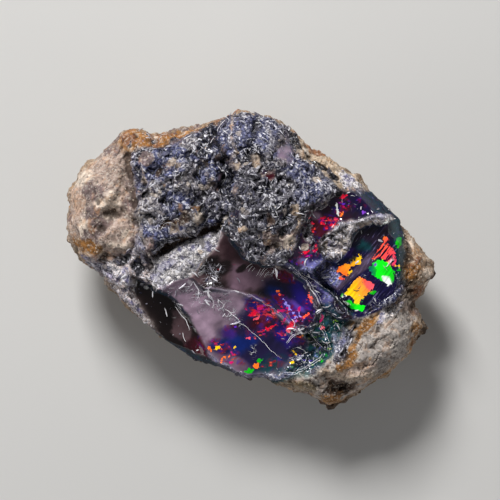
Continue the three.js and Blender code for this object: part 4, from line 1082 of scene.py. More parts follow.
# tones along each ramp, from its low end to its high end
ramps = {
    "chippedEdgeShade": [
        (0.44, (2, 6, 18)), (0.56, (6, 14, 48)), (0.66, (0, 62, 74)), (0.76, (0, 40, 58)),
        (0.86, (58, 48, 124)), (0.96, (190, 188, 206)),
    ],
    "warmFire": [
        (0.3, (96, 40, 190)), (0.37, (190, 16, 110)), (0.45, (172, 8, 48)), (0.54, (222, 22, 48)),
        (0.64, (244, 80, 60)), (0.74, (200, 22, 116)),
    ],
    "coolFire": [
        (0.3, (70, 60, 190)), (0.42, (16, 90, 150)), (0.5, (10, 140, 100)), (0.6, (20, 190, 50)),
        (0.7, (120, 150, 30)),
    ],
    "warmMist": [
        (0.32, (30, 34, 150)), (0.42, (76, 30, 160)), (0.5, (120, 14, 84)), (0.58, (132, 12, 32)),
        (0.7, (40, 30, 140)),
    ],
    "coolMist": [(0.3, (10, 40, 90)), (0.45, (8, 80, 76)), (0.6, (10, 90, 40)), (0.72, (50, 40, 110))],
}


def sandyLayer(tree, place, tint, hollow):
    # host rock: fine grains of pale, ochre and dark, with scratches, pale threads and painted shade in its
    # pits
    broad = noiseField(tree, place, 1.8, 4)
    fine = noiseField(tree, place, 0.3, 6)
    grains, pick = cellField(tree, warp(tree, place, 0.3, 0.06), 0.13)
    warm = noiseField(tree, place, 0.9, 4, 0.8)
    scratches = noiseField(tree, warp(tree, place, 0.5, 0.3), 0.24, 3, 1.5)
    threads = noiseField(tree, warp(tree, place, 0.4, 0.15), 0.26, 3, 0.8, "RIDGED_MULTIFRACTAL")
    shade = times(tree, stepUp(tree, broad, 0.3, 0.7, 0.8, 1.2), stepUp(tree, fine, 0.3, 0.7, 0.65, 1.3))
    color = shadeBy(tree, tint, shade)
    for mark, value, low, high, most in (
        ("ochreGrain", warm, 0.52, 0.7, 0.4), ("paleGrain", pick["Red"], 0.6, 1.0, 0.4),
        ("darkGrain", pick["Green"], 0.86, 0.92, 0.5), ("rockScratch", scratches, 0.6, 0.68, 0.65),
        ("rockThread", threads, 0.9, 1.4, 0.5), ("rockPitShade", hollow, 0.15, 0.9, 0.8),
    ):
        color = layTone(tree, color, stepUp(tree, value, low, high, 0, most), markTones[mark])
    return color, plus(tree, fine, times(tree, grains["Distance"], -0.4))


def chalkLayer(tree, place, tint, hollow):
    # powdery white potch with dark blue specks, thin dark cracks and painted shade in its pits
    fine = noiseField(tree, place, 0.3, 4)
    pick = cellField(tree, warp(tree, place, 0.3, 0.06), 0.11)[1]
    specks = noiseField(tree, warp(tree, place, 0.35, 0.12), 0.4, 4)
    inputs = {"Vector": warp(tree, place, 0.5, 0.25), "Scale": 1 / (0.5 * mm)}
    plates = addNode(tree, "ShaderNodeTexVoronoi", inputs, feature="DISTANCE_TO_EDGE").outputs["Distance"]
    lilac = noiseField(tree, place, 0.9, 2)
    shade = stepUp(tree, fine, 0.3, 0.7, 0.7, 1.15)
    color = shadeBy(tree, tint, times(tree, shade, stepUp(tree, pick["Red"], 0, 0.9, 0.55, 1.25)))
    for mark, value, low, high, most in (
        ("chalkCrystal", pick["Blue"], 0.66, 0.76, 0.75), ("chalkSpeck", specks, 0.54, 0.6, 0.85),
        ("chalkCrack", plates, 0.06, 0.02, 0.8), ("chalkLilac", lilac, 0.5, 0.65, 0.4),
        ("chalkPitShade", hollow, 0.2, 0.9, 0.75),
    ):
        color = layTone(tree, color, stepUp(tree, value, low, high, 0, most), markTones[mark])
    return color, plus(tree, fine, times(tree, pick["Green"], 0.4))


def crustLayer(tree, place, tint, hollow):
    # matted blue-black crust: pale fibres and chips over near black, with painted shade in its pits
    fibres = noiseField(tree, warp(tree, place, 0.7, 0.22), 0.42, 3, 0.6, "RIDGED_MULTIFRACTAL")
    pick = cellField(tree, warp(tree, place, 0.25, 0.09), 0.16)[1]
    patchy = noiseField(tree, place, 1.1, 4)
    dark = shadeBy(tree, tint, (0.13, 0.13, 0.19, 1))
    pale = layTone(tree, tint, 0.7, markTones["crustFibre"])
    color = mixColors(tree, stepUp(tree, pick["Red"], 0.25, 0.85), dark, tint)
    share = times(tree, stepUp(tree, fibres, 0.8, 1.3), stepUp(tree, patchy, 0.35, 0.6, 0.35, 1))
    color = mixColors(tree, share, color, pale)
    color = mixColors(tree, stepUp(tree, pick["Green"], 0.78, 0.86, 0, 0.85), color, pale)
    color = layTone(tree, color, stepUp(tree, patchy, 0.44, 0.32, 0, 0.6), markTones["crustGap"])
    color = layTone(tree, color, stepUp(tree, hollow, 0.15, 0.85, 0, 0.9), markTones["crustPitShade"])
    return color, plus(tree, times(tree, fibres, 0.5), pick["Blue"])


def slantwise(tree, place):
    # draws a pattern out along the slant that the strong fire is grained in
    inputs = {"Vector": place, "Rotation": (0, 0, 0.9), "Scale": (4.0, 0.7, 1.0)}
    return addNode(tree, "ShaderNodeMapping", inputs, vector_type="TEXTURE").outputs[0]


def glassLayer(tree, place, tint, loose, curls, grained):
    # smoky glass with soft shades, a dusting of white flecks and, where the curls lie, fine squiggles of
    # painted highlight with painted shadow beside them
    soft = noiseField(tree, place, 1.1, 3, 0.5)
    color = shadeBy(tree, tint, stepUp(tree, soft, 0.25, 0.75, 0.75, 1.25))
    streaks = noiseField(tree, slantwise(tree, place), 0.2, 3, 0.3)
    color = mixColors(tree, grained, color, stepUp(tree, streaks, 0.35, 0.65, 0.7, 1.35), "MULTIPLY")
    pale = times(tree, grained, stepUp(tree, streaks, 0.6, 0.72, 0, 0.45))
    color = layTone(tree, color, pale, markTones["glassStreak"])
    specks, pick = cellField(tree, warp(tree, place, 0.3, 0.12), 0.2)
    chosen = calculate(tree, "LESS_THAN", pick["Red"], times(tree, loose, 0.6))
    cover = times(tree, times(tree, chosen, stepUp(tree, specks["Distance"], 0.34, 0.2)), 0.75)
    color = layTone(tree, color, cover, markTones["glassDust"])
    wander = noiseField(tree, place, 0.42, 2, 1.2)
    within = times(tree, curls, stepUp(tree, noiseField(tree, place, 0.8, 2), 0.35, 0.5))
    # each squiggle is a pale painted highlight with a dark painted shadow beside it
    for level, mark in ((0.56, "squiggleShadow"), (0.53, "squiggleHighlight")):
        off = calculate(tree, "ABSOLUTE", calculate(tree, "SUBTRACT", wander, level))
        line = times(tree, stepUp(tree, off, 0.026, 0.012), within)
        color = layTone(tree, color, line, markTones[mark])
        cover = calculate(tree, "MAXIMUM", cover, line)
    return color, cover


def chippedEdgeShade(tree, place):
    # dark blue, teal and violet chips, some of them pale
    pick = cellField(tree, warp(tree, place, 0.4, 0.2), 0.13)[1]
    patchy = noiseField(tree, place, 0.6, 5, 0.8)
    level = plus(tree, times(tree, pick["Red"], 0.3), times(tree, patchy, 0.9))
    return rampColors(tree, level, ramps["chippedEdgeShade"])


def smallFire(tree, place, fire, warmth):
    # a mosaic of small angular spots of fire, bunched together: how much they cover, and their colour
    inputs = {"Vector": warp(tree, place, 0.5, 0.15), "Rotation": (0, 0, -0.6), "Scale": (1, 1.7, 1.7)}
    cells, pick = cellField(tree, addNode(tree, "ShaderNodeMapping", inputs).outputs[0], 0.2)
    level = noiseField(tree, cells["Position"], 0.5, 2)
    level = plus(tree, level, stepUp(tree, pick["Red"], 0, 1, -0.06, 0.06))
    level = plus(tree, level, stepUp(tree, noiseField(tree, place, 0.12, 2), 0.2, 0.8, -0.03, 0.03))
    over = calculate(tree, "SUBTRACT", level, stepUp(tree, fire, 0, 1, 0.8, 0.46))
    hue = noiseField(tree, cells["Position"], 1.3, 1)
    hue = plus(tree, hue, stepUp(tree, pick["Green"], 0, 1, -0.1, 0.1))
    cool, warm = (rampColors(tree, hue, ramps[name]) for name in ("coolFire", "warmFire"))
    color = mixColors(tree, warmth, cool, warm)
    rim = shadeBy(tree, color, (0.3, 0.2, 0.3, 1))
    return stepUp(tree, over, -0.03, 0.025), mixColors(tree, stepUp(tree, over, 0, 0.1), rim, color)


def fireMist(tree, place, fire, warmth):
    # the clouds of colour that the spots lie in: how much they cover, and their colour
    drift = noiseField(tree, place, 1.0, 3, 1.5)
    cover = stepUp(tree, noiseField(tree, place, 0.8, 4, 1.0), 0.42, 0.7, 0, 0.8)
    cover = times(tree, cover, stepUp(tree, fire, 0.05, 0.4))
    cool, warm = (rampColors(tree, drift, ramps[name]) for name in ("coolMist", "warmMist"))
    return cover, mixColors(tree, warmth, cool, warm)


def strongFire(tree, place):
    # the panes and larger flecks, with fine straight lines that run through them
    ragged = stepUp(tree, noiseField(tree, place, 0.2, 4), 0.2, 0.8, -0.1, 0.1)
    cover = stepUp(tree, plus(tree, readValue(tree, "fireEdge"), ragged), -0.01, 0.02)
    lines = noiseField(tree, slantwise(tree, place), 0.2, 3, 0.2)
    gaps = times(tree, stepUp(tree, lines, 0.5, 0.44), readValue(tree, "cut"))
    color = shadeBy(tree, readColor(tree, "fireTint"), stepUp(tree, lines, 0.3, 0.65, 0.75, 1.15))
    return calculate(tree, "SUBTRACT", cover, gaps, True), color


# how the layers of the opal shine
finish = {
    "rockRoughness": 0.8,
    "crustRoughness": 0.45,
    "glassRoughness": 0.08,
    "dustRoughness": 0.3,  # added by dust on the glass
    "edgeRoughness": 0.75,
    # the steep glass is darkened this far, partly by real chips and partly as painted shade
    "edgeCover": 0.85,  # how far the chips hide the tone of a steep glass edge
    "refraction": 1.45,
    "reflection": 0.3,
    "coat": 0.6,
    "coatRoughness": 0.03,
    # painted light: the fire spots and panes glow, though the opal gives off no light
    "glow": 0.45,  # of the fire
    "bump": 0.9,
    "bumpDepth": 0.06,
}


def opalMaterial():
    material, tree, shader = newMaterial("opalSurface")
    place = addNode(tree, "ShaderNodeTexCoord").outputs["Object"]
    tint = readColor(tree, "tint")
    hollow, crust, loose, curls, grained, fire, warmth, steep = (
        readValue(tree, name)
        for name in ("hollow", "crust", "loose", "curls", "grained", "fire", "warmth", "steep")
    )
    blur = stepUp(tree, noiseField(tree, place, 0.25, 3), 0.3, 0.7, -0.3, 0.3)
    color, height = sandyLayer(tree, place, tint, hollow)
    # the glass is laid last, so that its cover and its dust are at hand below
    for share, (layerColor, layerHeight) in (
        (crust, crustLayer(tree, place, tint, hollow)),
        (readValue(tree, "chalk"), chalkLayer(tree, place, tint, hollow)),
        (readValue(tree, "glass"), glassLayer(tree, place, tint, loose, curls, grained)),
    ):
        cover = stepUp(tree, plus(tree, share, blur), 0.35, 0.65)
        color = mixColors(tree, cover, color, layerColor)
        height = mixValues(tree, cover, height, layerHeight)
    glassCover, dust = cover, layerHeight
    mist, mistColor = fireMist(tree, place, fire, warmth)
    color = mixColors(tree, times(tree, mist, glassCover), color, mistColor)
    spots, spotColor = smallFire(tree, place, fire, warmth)
    spots = times(tree, spots, glassCover)
    color = mixColors(tree, spots, color, spotColor)
    panesCover, paneColor = strongFire(tree, place)
    color = mixColors(tree, panesCover, color, paneColor)
    # the fire is given a painted glow in its own colour
    glow = mixColors(tree, panesCover, spotColor, paneColor)
    fireCover = calculate(tree, "MAXIMUM", spots, panesCover)
    rough = mixValues(tree, crust, finish["rockRoughness"], finish["crustRoughness"])
    rough = mixValues(tree, glassCover, rough, finish["glassRoughness"])
    rough = calculate(tree, "ADD", rough, times(tree, dust, finish["dustRoughness"]), True)
    # the steep edges of the glass are finely chipped and dull, and their colour is darkened by steepness as
    # painted shade
    steepGlass = times(tree, steep, glassCover)
    rough = mixValues(tree, steepGlass, rough, finish["edgeRoughness"])
    color = mixColors(tree, times(tree, steepGlass, finish["edgeCover"]), color, chippedEdgeShade(tree, place))
    coat = times(tree, calculate(tree, "SUBTRACT", glassCover, steepGlass), finish["coat"])
    inputs = {"Strength": finish["bump"], "Distance": finish["bumpDepth"] * mm, "Height": height}
    bump = addNode(tree, "ShaderNodeBump", inputs)
    shader.inputs["IOR"].default_value = finish["refraction"]
    shader.inputs["Specular IOR Level"].default_value = finish["reflection"]
    shader.inputs["Coat Roughness"].default_value = finish["coatRoughness"]
    feed(tree, shader, color=color, roughness=rough, normal=bump.outputs["Normal"], coat=coat, glow=glow,
         glowStrength=times(tree, fireCover, finish["glow"]))
    return material


stonePiece = makeStone()
stonePiece.data.materials.append(opalMaterial())
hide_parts(stone["node"])
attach(stonePiece, "root")

# how the loose pieces look: tones from their dark to their pale end, 0-255, the size of their grain in
# millimetres and its detail, how much it darkens and lightens them, and how rough they are; tinted is how
# much the tone of the stone under them shows at the dark and the pale end
looseFinishes = {
    # thin raised edges and shreds of clear potch, painted white as a painted highlight, with a painted glow
    "glassCurl": {
        "tones": [(0, (150, 146, 164)), (0.3, (236, 232, 242)), (1, (254, 252, 255))],
        "grain": (0.1, 2), "shade": (0.8, 1.1), "roughness": (0.1, 0.35), "glow": 0.3,
    },
    # chips from near black through slate to white
    "crustChip": {
        "tones": [
            (0, (16, 17, 36)), (0.35, (48, 52, 86)), (0.6, (112, 112, 130)), (0.82, (200, 198, 206)),
            (1, (248, 246, 250)),
        ],
        "grain": (0.08, 2), "shade": (0.75, 1.2), "roughness": (0.15, 0.45), "tinted": (0.45, 0.05),
        "bump": (0.4, 0.01),
    },
    # lumps caught in the crust: slate, grey, tan, cream and a little ochre
    "crustLump": {
        "tones": [
            (0, (36, 36, 54)), (0.4, (84, 80, 92)), (0.65, (134, 124, 118)), (0.88, (190, 176, 162)),
            (0.96, (226, 214, 200)), (1, (206, 150, 88)),
        ],
        "grain": (0.14, 4), "shade": (0.5, 1.3), "roughness": (0.5, 0.8), "tinted": (0.3, 0.3),
        "bump": (0.6, 0.04),
    },
    # sand grains: quartz white, cream, ochre, brown and a few black
    "rockGrain": {
        "tones": [
            (0, (52, 42, 38)), (0.25, (122, 94, 70)), (0.5, (178, 146, 108)), (0.75, (206, 190, 166)),
            (1, (232, 224, 210)),
        ],
        "grain": (0.06, 2), "shade": (0.8, 1.15), "roughness": (0.5, 0.8), "tinted": (0.5, 0.5),
        "bump": (0.4, 0.01),
    },
}


def looseMaterial(name):
    look = looseFinishes[name]
    material, tree, shader = newMaterial(name)
    tone = readValue(tree, "tone")
    fine = noiseField(tree, addNode(tree, "ShaderNodeTexCoord").outputs["Object"], *look["grain"])
    color = rampColors(tree, tone, look["tones"])
    if "tinted" in look:
        share = stepUp(tree, tone, 0.5, 0.9, *look["tinted"])
        color = mixColors(tree, share, color, readColor(tree, "tint"))
    color = shadeBy(tree, color, stepUp(tree, fine, 0.3, 0.7, *look["shade"]))
    feed(tree, shader, color=color, roughness=stepUp(tree, fine, 0.2, 0.8, *look["roughness"]))
    if "bump" in look:
        strength, depth = look["bump"]
        inputs = {"Strength": strength, "Distance": depth * mm, "Height": fine}
        feed(tree, shader, normal=addNode(tree, "ShaderNodeBump", inputs).outputs["Normal"])
    if "glow" in look:
        feed(tree, shader, glow=color, glowStrength=stepUp(tree, tone, 0.1, 0.8, 0, look["glow"]))
    return material


# the shapes that are scattered, each about one unit long

def splinter(tree, curve, thickness, sides=3):
    # a curve made solid: thick in the middle and pointed at both ends
    along = addNode(tree, "GeometryNodeSplineParameter").outputs["Factor"]
    fromEnd = times(tree, along, calculate(tree, "SUBTRACT", 1.0, along))
    taper = plus(tree, times(tree, fromEnd, 3.6), 0.1)
    section = addNode(tree, "GeometryNodeCurvePrimitiveCircle", {"Resolution": sides, "Radius": thickness})
    inputs = {"Curve": curve, "Profile Curve": section.outputs["Curve"], "Scale": taper, "Fill Caps": True}
    return addNode(tree, "GeometryNodeCurveToMesh", inputs).outputs["Mesh"]


def arc(tree, bend, resolution):
    inputs = {"Resolution": resolution, "Start": (-0.5, 0, 0), "Middle": (0, bend, 0), "End": (0.5, 0, 0)}
    return addNode(tree, "GeometryNodeCurveArc", inputs, mode="POINTS").outputs["Curve"]


def ball(tree, subdivisions):
    inputs = {"Radius": 1.0, "Subdivisions": subdivisions}
    return addNode(tree, "GeometryNodeMeshIcoSphere", inputs).outputs["Mesh"]


def drawnOut(tree, geometry, length, width, thickness):
    size = addNode(tree, "ShaderNodeCombineXYZ", {"X": length, "Y": width, "Z": thickness}).outputs[0]
    return addNode(tree, "GeometryNodeTransform", {"Geometry": geometry, "Scale": size}).outputs["Geometry"]


def flakeShapes(tree, thickness):
    thick = times(tree, thickness, 1.4)
    made = []
    for bend, resolution, across in (
        (0.03, 3, thickness), (0.12, 4, thickness), (-0.2, 5, thickness), (-0.05, 3, thick),
        (0.08, 4, thick),
    ):
        made.append(splinter(tree, arc(tree, bend, resolution), across))
    return made + [drawnOut(tree, ball(tree, 1), 0.42, 0.14, thickness)]


def lumpShapes(tree, thickness):
    # rounded lumps, each pushed out of round in its own way
    made = []
    for shift, length, width in ((0.0, 0.5, 0.36), (4.0, 0.5, 0.26), (8.0, 0.4, 0.42)):
        place = addNode(tree, "GeometryNodeInputPosition").outputs[0]
        inputs = {0: place, 1: (shift, 0, 0)}
        moved = addNode(tree, "ShaderNodeVectorMath", inputs, operation="ADD").outputs[0]
        inputs = {"Vector": moved, "Scale": 1.4, "Detail": 3.0}
        rough = addNode(tree, "ShaderNodeTexNoise", inputs).outputs["Fac"]
        inputs = {0: place, 3: stepUp(tree, rough, 0.3, 0.7, -0.45, 0.35)}
        push = addNode(tree, "ShaderNodeVectorMath", inputs, operation="SCALE").outputs[0]
        inputs = {"Geometry": ball(tree, 2), "Offset": push}
        bent = addNode(tree, "GeometryNodeSetPosition", inputs).outputs[0]
        made.append(drawnOut(tree, bent, length, width, thickness))
    return made


def curlShapes(tree, thickness):
    made = [splinter(tree, arc(tree, 0.08, 8), thickness, 5)]
    for lean, reach in ((0.5, -0.2), (-0.35, -0.2), (0.8, 0.3), (-0.6, 0.5)):
        inputs = {
            "Resolution": 10, "Start": (-0.5, 0, 0), "Start Handle": (reach, lean, 0),
            "End Handle": (0.2, -lean, 0), "End": (0.5, 0, 0),
        }
        wave = addNode(tree, "GeometryNodeCurvePrimitiveBezierSegment", inputs).outputs["Curve"]
        made.append(splinter(tree, wave, thickness, 5))
    return made


def grainShapes(tree, thickness):
    return [drawnOut(tree, ball(tree, 1), 0.5, width, thickness) for width in (0.4, 0.28)]


# loose-looking chips on the crust and grains on the rock, held in it by their lower half; density is the
# value of the stone that says where they lie, and thickness is a share of the length
scatters = {
    "crustFlakes": {
        "shapes": flakeShapes, "density": "loose", "finish": "crustChip", "perSquareMm": 40.0,
        "shortest": 0.12, "longest": 0.8, "thickness": 0.072, "tilt": 0.28, "swirl": 2.4, "lift": 0.0,
        "seed": 7,
    },
    "crustLumps": {
        "shapes": lumpShapes, "density": "lumpy", "finish": "crustLump", "perSquareMm": 0.8,
        "shortest": 0.12, "longest": 0.75, "thickness": 0.22, "tilt": 0.3, "swirl": 2.0, "lift": 0.0,
        "seed": 3,
    },
    "glassCurls": {
        "shapes": curlShapes, "density": "curls", "finish": "glassCurl", "perSquareMm": 15.0,
        "shortest": 0.32, "longest": 0.95, "thickness": 0.085, "tilt": 0.15, "swirl": 2.6, "lift": 0.03,
        "seed": 31,
    },
    "rockGrains": {
        "shapes": grainShapes, "density": "grainy", "finish": "rockGrain", "perSquareMm": 8.0,
        "shortest": 0.06, "longest": 0.2, "thickness": 0.35, "tilt": 0.4, "swirl": 0.0, "lift": 0.0,
        "seed": 19,
    },
}


def randomValue(tree, low, high, seed, step):
    inputs = {2: low, 3: high, "Seed": plus(tree, seed, step)}
    return addNode(tree, "FunctionNodeRandomValue", inputs, data_type="FLOAT").outputs[1]


def scatterTree(name, makeShapes, densityName):
    tree = bpy.data.node_groups.new(name, "GeometryNodeTree")
    tree.interface.new_socket("Geometry", in_out="INPUT", socket_type="NodeSocketGeometry")
    tree.interface.new_socket("Geometry", in_out="OUTPUT", socket_type="NodeSocketGeometry")
    for label in ("Per Square Metre", "Shortest", "Longest", "Thickness", "Tilt", "Swirl", "Lift"):
        tree.interface.new_socket(label, in_out="INPUT", socket_type="NodeSocketFloat")
    tree.interface.new_socket("Seed", in_out="INPUT", socket_type="NodeSocketInt")
    tree.interface.new_socket("Finish", in_out="INPUT", socket_type="NodeSocketMaterial")
    inputs = addNode(tree, "NodeGroupInput").outputs
    seed = inputs["Seed"]
    density = addNode(tree, "GeometryNodeInputNamedAttribute", {"Name": densityName}, data_type="FLOAT")
    spread = addNode(tree, "GeometryNodeDistributePointsOnFaces", {
        "Mesh": inputs["Geometry"], "Density": times(tree, density.outputs[0], inputs["Per Square Metre"]),
        "Seed": seed,
    }).outputs
    # neighbours lie nearly the same way, so that they read as matted fibres
    flow = noiseField(tree, addNode(tree, "GeometryNodeInputPosition").outputs[0], 1.9, 2)
    flow = times(tree, times(tree, flow, inputs["Swirl"]), 2 * math.pi)
    least = times(tree, inputs["Tilt"], -1.0)
    turn = addNode(tree, "ShaderNodeCombineXYZ", {
        "X": randomValue(tree, least, inputs["Tilt"], seed, 1),
        "Y": randomValue(tree, least, inputs["Tilt"], seed, 2),
        "Z": plus(tree, flow, randomValue(tree, -0.45, 0.45, seed, 3)),
    }).outputs[0]
    turned = addNode(tree, "FunctionNodeRotateRotation", {
        "Rotation": spread["Rotation"],
        "Rotate By": addNode(tree, "FunctionNodeEulerToRotation", {"Euler": turn}).outputs[0],
    }, rotation_space="LOCAL").outputs[0]
    # many short ones and few long ones
    draw = calculate(tree, "POWER", randomValue(tree, 0.0, 1.0, seed, 4), 2.5)
    length = mixValues(tree, draw, inputs["Shortest"], inputs["Longest"])
    away = {0: spread["Normal"], 3: inputs["Lift"]}
    lifted = addNode(tree, "ShaderNodeVectorMath", away, operation="SCALE").outputs[0]
    points = addNode(tree, "GeometryNodeSetPosition", {"Geometry": spread["Points"], "Offset": lifted})
    shapes = makeShapes(tree, inputs["Thickness"])
    choice = addNode(tree, "GeometryNodeGeometryToInstance")
    for made in shapes:
        tree.links.new(made, choice.inputs[0])
    placed = addNode(tree, "GeometryNodeInstanceOnPoints", {
        "Points": points.outputs[0], "Instance": choice.outputs[0], "Pick Instance": True,
        "Instance Index": randomValue(tree, 0.0, len(shapes) - 0.001, seed, 6),
        "Rotation": turned, "Scale": length,
    })
    toned = addNode(tree, "GeometryNodeStoreNamedAttribute", {
        "Geometry": placed.outputs[0], "Name": "tone", "Value": randomValue(tree, 0.0, 1.0, seed, 5),
    }, data_type="FLOAT", domain="INSTANCE")
    real = addNode(tree, "GeometryNodeRealizeInstances", {"Geometry": toned.outputs[0]})
    finished = {"Geometry": real.outputs[0], "Material": inputs["Finish"]}
    done = addNode(tree, "GeometryNodeSetMaterial", finished)
    addNode(tree, "NodeGroupOutput", {"Geometry": done.outputs[0]})
    return tree


def scatterOver(name, material):
    sizes = scatters[name]
    tree = scatterTree(name, sizes["shapes"], sizes["density"])
    piece = bpy.data.objects.new(name, stonePiece.data.copy())
    bpy.context.scene.collection.objects.link(piece)
    maker = piece.modifiers.new("scatter", "NODES")
    maker.node_group = tree
    values = {
        "Per Square Metre": sizes["perSquareMm"] / mm ** 2, "Shortest": sizes["shortest"] * mm,
        "Longest": sizes["longest"] * mm, "Thickness": sizes["thickness"], "Tilt": sizes["tilt"],
        "Swirl": sizes["swirl"], "Lift": sizes["lift"] * mm, "Seed": sizes["seed"], "Finish": material,
    }
    for socket in tree.interface.items_tree:
        if socket.name in values:
            maker[socket.identifier] = values[socket.name]
    shapes = bpy.context.evaluated_depsgraph_get()
    made = bpy.data.meshes.new_from_object(piece.evaluated_get(shapes))
    piece.modifiers.remove(maker)
    piece.data = made
    made.name = name
    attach(piece, "root")
    print(name, "made:", len(made.polygons), "faces")


looseMaterials = {name: looseMaterial(name) for name in looseFinishes}
for name, sizes in scatters.items():
    scatterOver(name, looseMaterials[sizes["finish"]])

# thin raised edges along the breaks: path, half thickness, how many run side by side and how far apart
strands = [
    ([(2.2, 0.0), (3.6, -1.1), (4.4, -2.2), (5.0, -3.4), (5.4, -4.8), (5.1, -5.5)], 0.022, 1, 0),
    ([(2.8, -0.3), (4.0, -1.3), (4.9, -2.5), (5.4, -3.8)], 0.015, 2, 0.25),
    ([(3.0, -0.5), (4.4, -1.4), (5.7, -2.3), (7.2, -3.8)], 0.02, 1, 0),
    ([(-1.3, -4.4), (0.0, -5.2), (0.9, -6.0), (1.6, -6.8), (2.3, -7.2)], 0.015, 1, 0),
    ([(-2.6, -2.2), (-1.2, -2.3), (0.0, -2.6), (1.1, -3.2), (2.2, -4.0), (3.1, -4.9)], 0.011, 1, 0),
    ([(-2.8, -7.1), (-2.2, -7.7), (-1.1, -8.3), (0.0, -8.7), (1.2, -8.6), (2.5, -8.9)], 0.028, 1, 0),
    ([(2.9, -6.6), (3.4, -6.4), (3.9, -6.7), (4.0, -7.2), (3.6, -7.6), (3.0, -7.5)], 0.016, 1, 0),
    ([(2.5, -6.0), (3.0, -5.4), (3.6, -5.2), (4.1, -5.4)], 0.016, 2, 0.15),
    ([(2.0, -8.3), (3.2, -8.1), (4.4, -7.5), (5.4, -6.8)], 0.02, 2, 0.2),
    ([(4.0, -5.0), (4.7, -5.6), (5.4, -6.5)], 0.016, 1, 0.22),
    ([(4.9, -4.6), (5.5, -5.6), (5.7, -6.8)], 0.016, 2, 0.2),
    ([(-0.3, -0.8), (-0.1, -0.5), (0.2, -0.2)], 0.01, 3, 0.22),
    ([(0.5, -1.3), (0.8, -0.8), (1.2, -0.3)], 0.01, 4, 0.2),
    ([(-3.7, 7.6), (-3.4, 8.5), (-2.9, 9.2), (-2.2, 9.5)], 0.024, 4, 0.24),
    ([(-2.0, 8.0), (-2.2, 8.9), (-1.9, 9.7), (-1.3, 10.4)], 0.024, 4, 0.24),
    ([(-0.4, 10.0), (0.5, 10.3), (1.3, 10.0), (2.1, 9.3)], 0.028, 4, 0.2),
    ([(-6.9, 2.2), (-6.3, 2.9), (-5.6, 3.0), (-5.0, 2.5)], 0.028, 3, 0.2),
    ([(-6.3, -3.5), (-6.2, -3.8), (-6.1, -4.2)], 0.05, 1, 0),
    ([(-7.2, -2.3), (-7.15, -2.9)], 0.04, 1, 0),
    ([(-5.0, -5.3), (-4.9, -5.8), (-4.7, -6.1)], 0.03, 1, 0),
    ([(-5.6, -3.4), (-4.8, -4.4), (-4.5, -5.2)], 0.03, 1, 0),
    ([(-4.2, -1.6), (-3.8, -2.4), (-3.9, -2.9)], 0.03, 1, 0),
    ([(-3.0, -2.6), (-2.7, -3.1), (-2.9, -3.6)], 0.035, 1, 0),
    ([(-2.4, -2.8), (-2.0, -3.3), (-2.2, -3.8)], 0.03, 1, 0),
    ([(-1.9, -3.6), (-1.3, -4.1), (-0.7, -4.6)], 0.03, 1, 0),
    ([(2.9, -4.3), (3.1, -4.6), (3.1, -5.0)], 0.045, 1, 0),
    ([(0.5, 9.4), (1.2, 9.2), (1.9, 8.6)], 0.024, 4, 0.24),
]

strandForm = {
    "sides": 5,
    "step": 0.1,  # from one ring of points to the next
    "wander": 0.12,  # how far it sways from its path
    "castFrom": 30,  # a height above all of the stone
    "steepest": 2.2,  # a strand ends where the stone climbs or falls faster than this
}


def smoothPath(path):
    # a curve through all the points of the path, with points one step apart
    ends = [path[0]] + path + [path[-1]]
    made = []
    for a, b, c, d in zip(ends, ends[1:], ends[2:], ends[3:]):
        a, b, c, d = (np.array(p, dtype=float) for p in (a, b, c, d))
        count = max(2, int(np.linalg.norm(c - b) / strandForm["step"]))
        for t in np.arange(count) / count:
            made.append(0.5 * (2 * b + (c - a) * t + (2 * a - 5 * b + 4 * c - d) * t * t
                               + (3 * b - a - 3 * c + d) * t ** 3))
    return np.array(made)


def strandLines():
    # the smoothed paths with their half thickness; where three or more run side by side, each begins and
    # ends elsewhere
    made = []
    for path, halfThickness, count, apart in strands:
        line = smoothPath(path)
        ahead = np.gradient(line, axis=0)
        across = np.stack([-ahead[:, 1], ahead[:, 0]], axis=1) / np.linalg.norm(ahead, axis=1)[:, None]
        for k in range(count):
            aside = (k - count / 2 + 0.3 * latticeValue(k, line[0, 0], 1)) * apart
            start, end = (int(len(line) * (0.12 + 0.12 * latticeValue(k, line[0, 0], n))) for n in (2, 3))
            if count < 3:
                start, end = 0, 0
            made.append(((line + aside * across)[start:len(line) - end], halfThickness))
    return made


def stepsFromEnd(count):
    return np.minimum(np.arange(count), np.arange(count)[::-1])


def laidOnStone(surface, line):
    # where the line meets the stone from above, from its middle to where the stone gets steep, and where
    # that part begins and ends
    above, down = strandForm["castFrom"] * mm, Vector((0, 0, -1))
    hits = [surface.ray_cast(Vector((x * mm, y * mm, above)), down)[0] for x, y in line]
    heights = np.array([spot.z / mm if spot else -9 for spot in hits])
    steep = np.abs(np.gradient(heights, strandForm["step"])) > strandForm["steepest"]
    middle = len(hits) // 2
    first = max(np.flatnonzero(steep[:middle]), default=-1) + 1
    last = middle + min(np.flatnonzero(steep[middle:]), default=len(hits) - middle)
    return hits[first:last], first, last


def ringsAlong(spots, thick):
    # a ring of points around each spot, across the way the strand runs
    sides = strandForm["sides"]
    made = []
    for k, spot in enumerate(spots):
        ahead = spots[min(k + 1, len(spots) - 1)] - spots[max(k - 1, 0)]
        across = ahead.cross(Vector((0, 0, 1))).normalized()
        up = across.cross(ahead).normalized()
        for side in range(sides):
            angle = 2 * math.pi * side / sides
            out = across * math.cos(angle) + up * math.sin(angle)
            made.append((spot + out * float(thick[k]) * mm) / mm)
    return made


def tubeTriangles(first, rings):
    # the skin over the rings and a cap at each end
    sides = strandForm["sides"]
    made = []
    for k in range(rings - 1):
        for side in range(sides):
            a, b = first + k * sides + side, first + k * sides + (side + 1) % sides
            made += [(a, b + sides, b), (a, a + sides, b + sides)]
    last = first + (rings - 1) * sides
    for side in range(1, sides - 1):
        made += [(first, first + side, first + side + 1), (last, last + side + 1, last + side)]
    return made


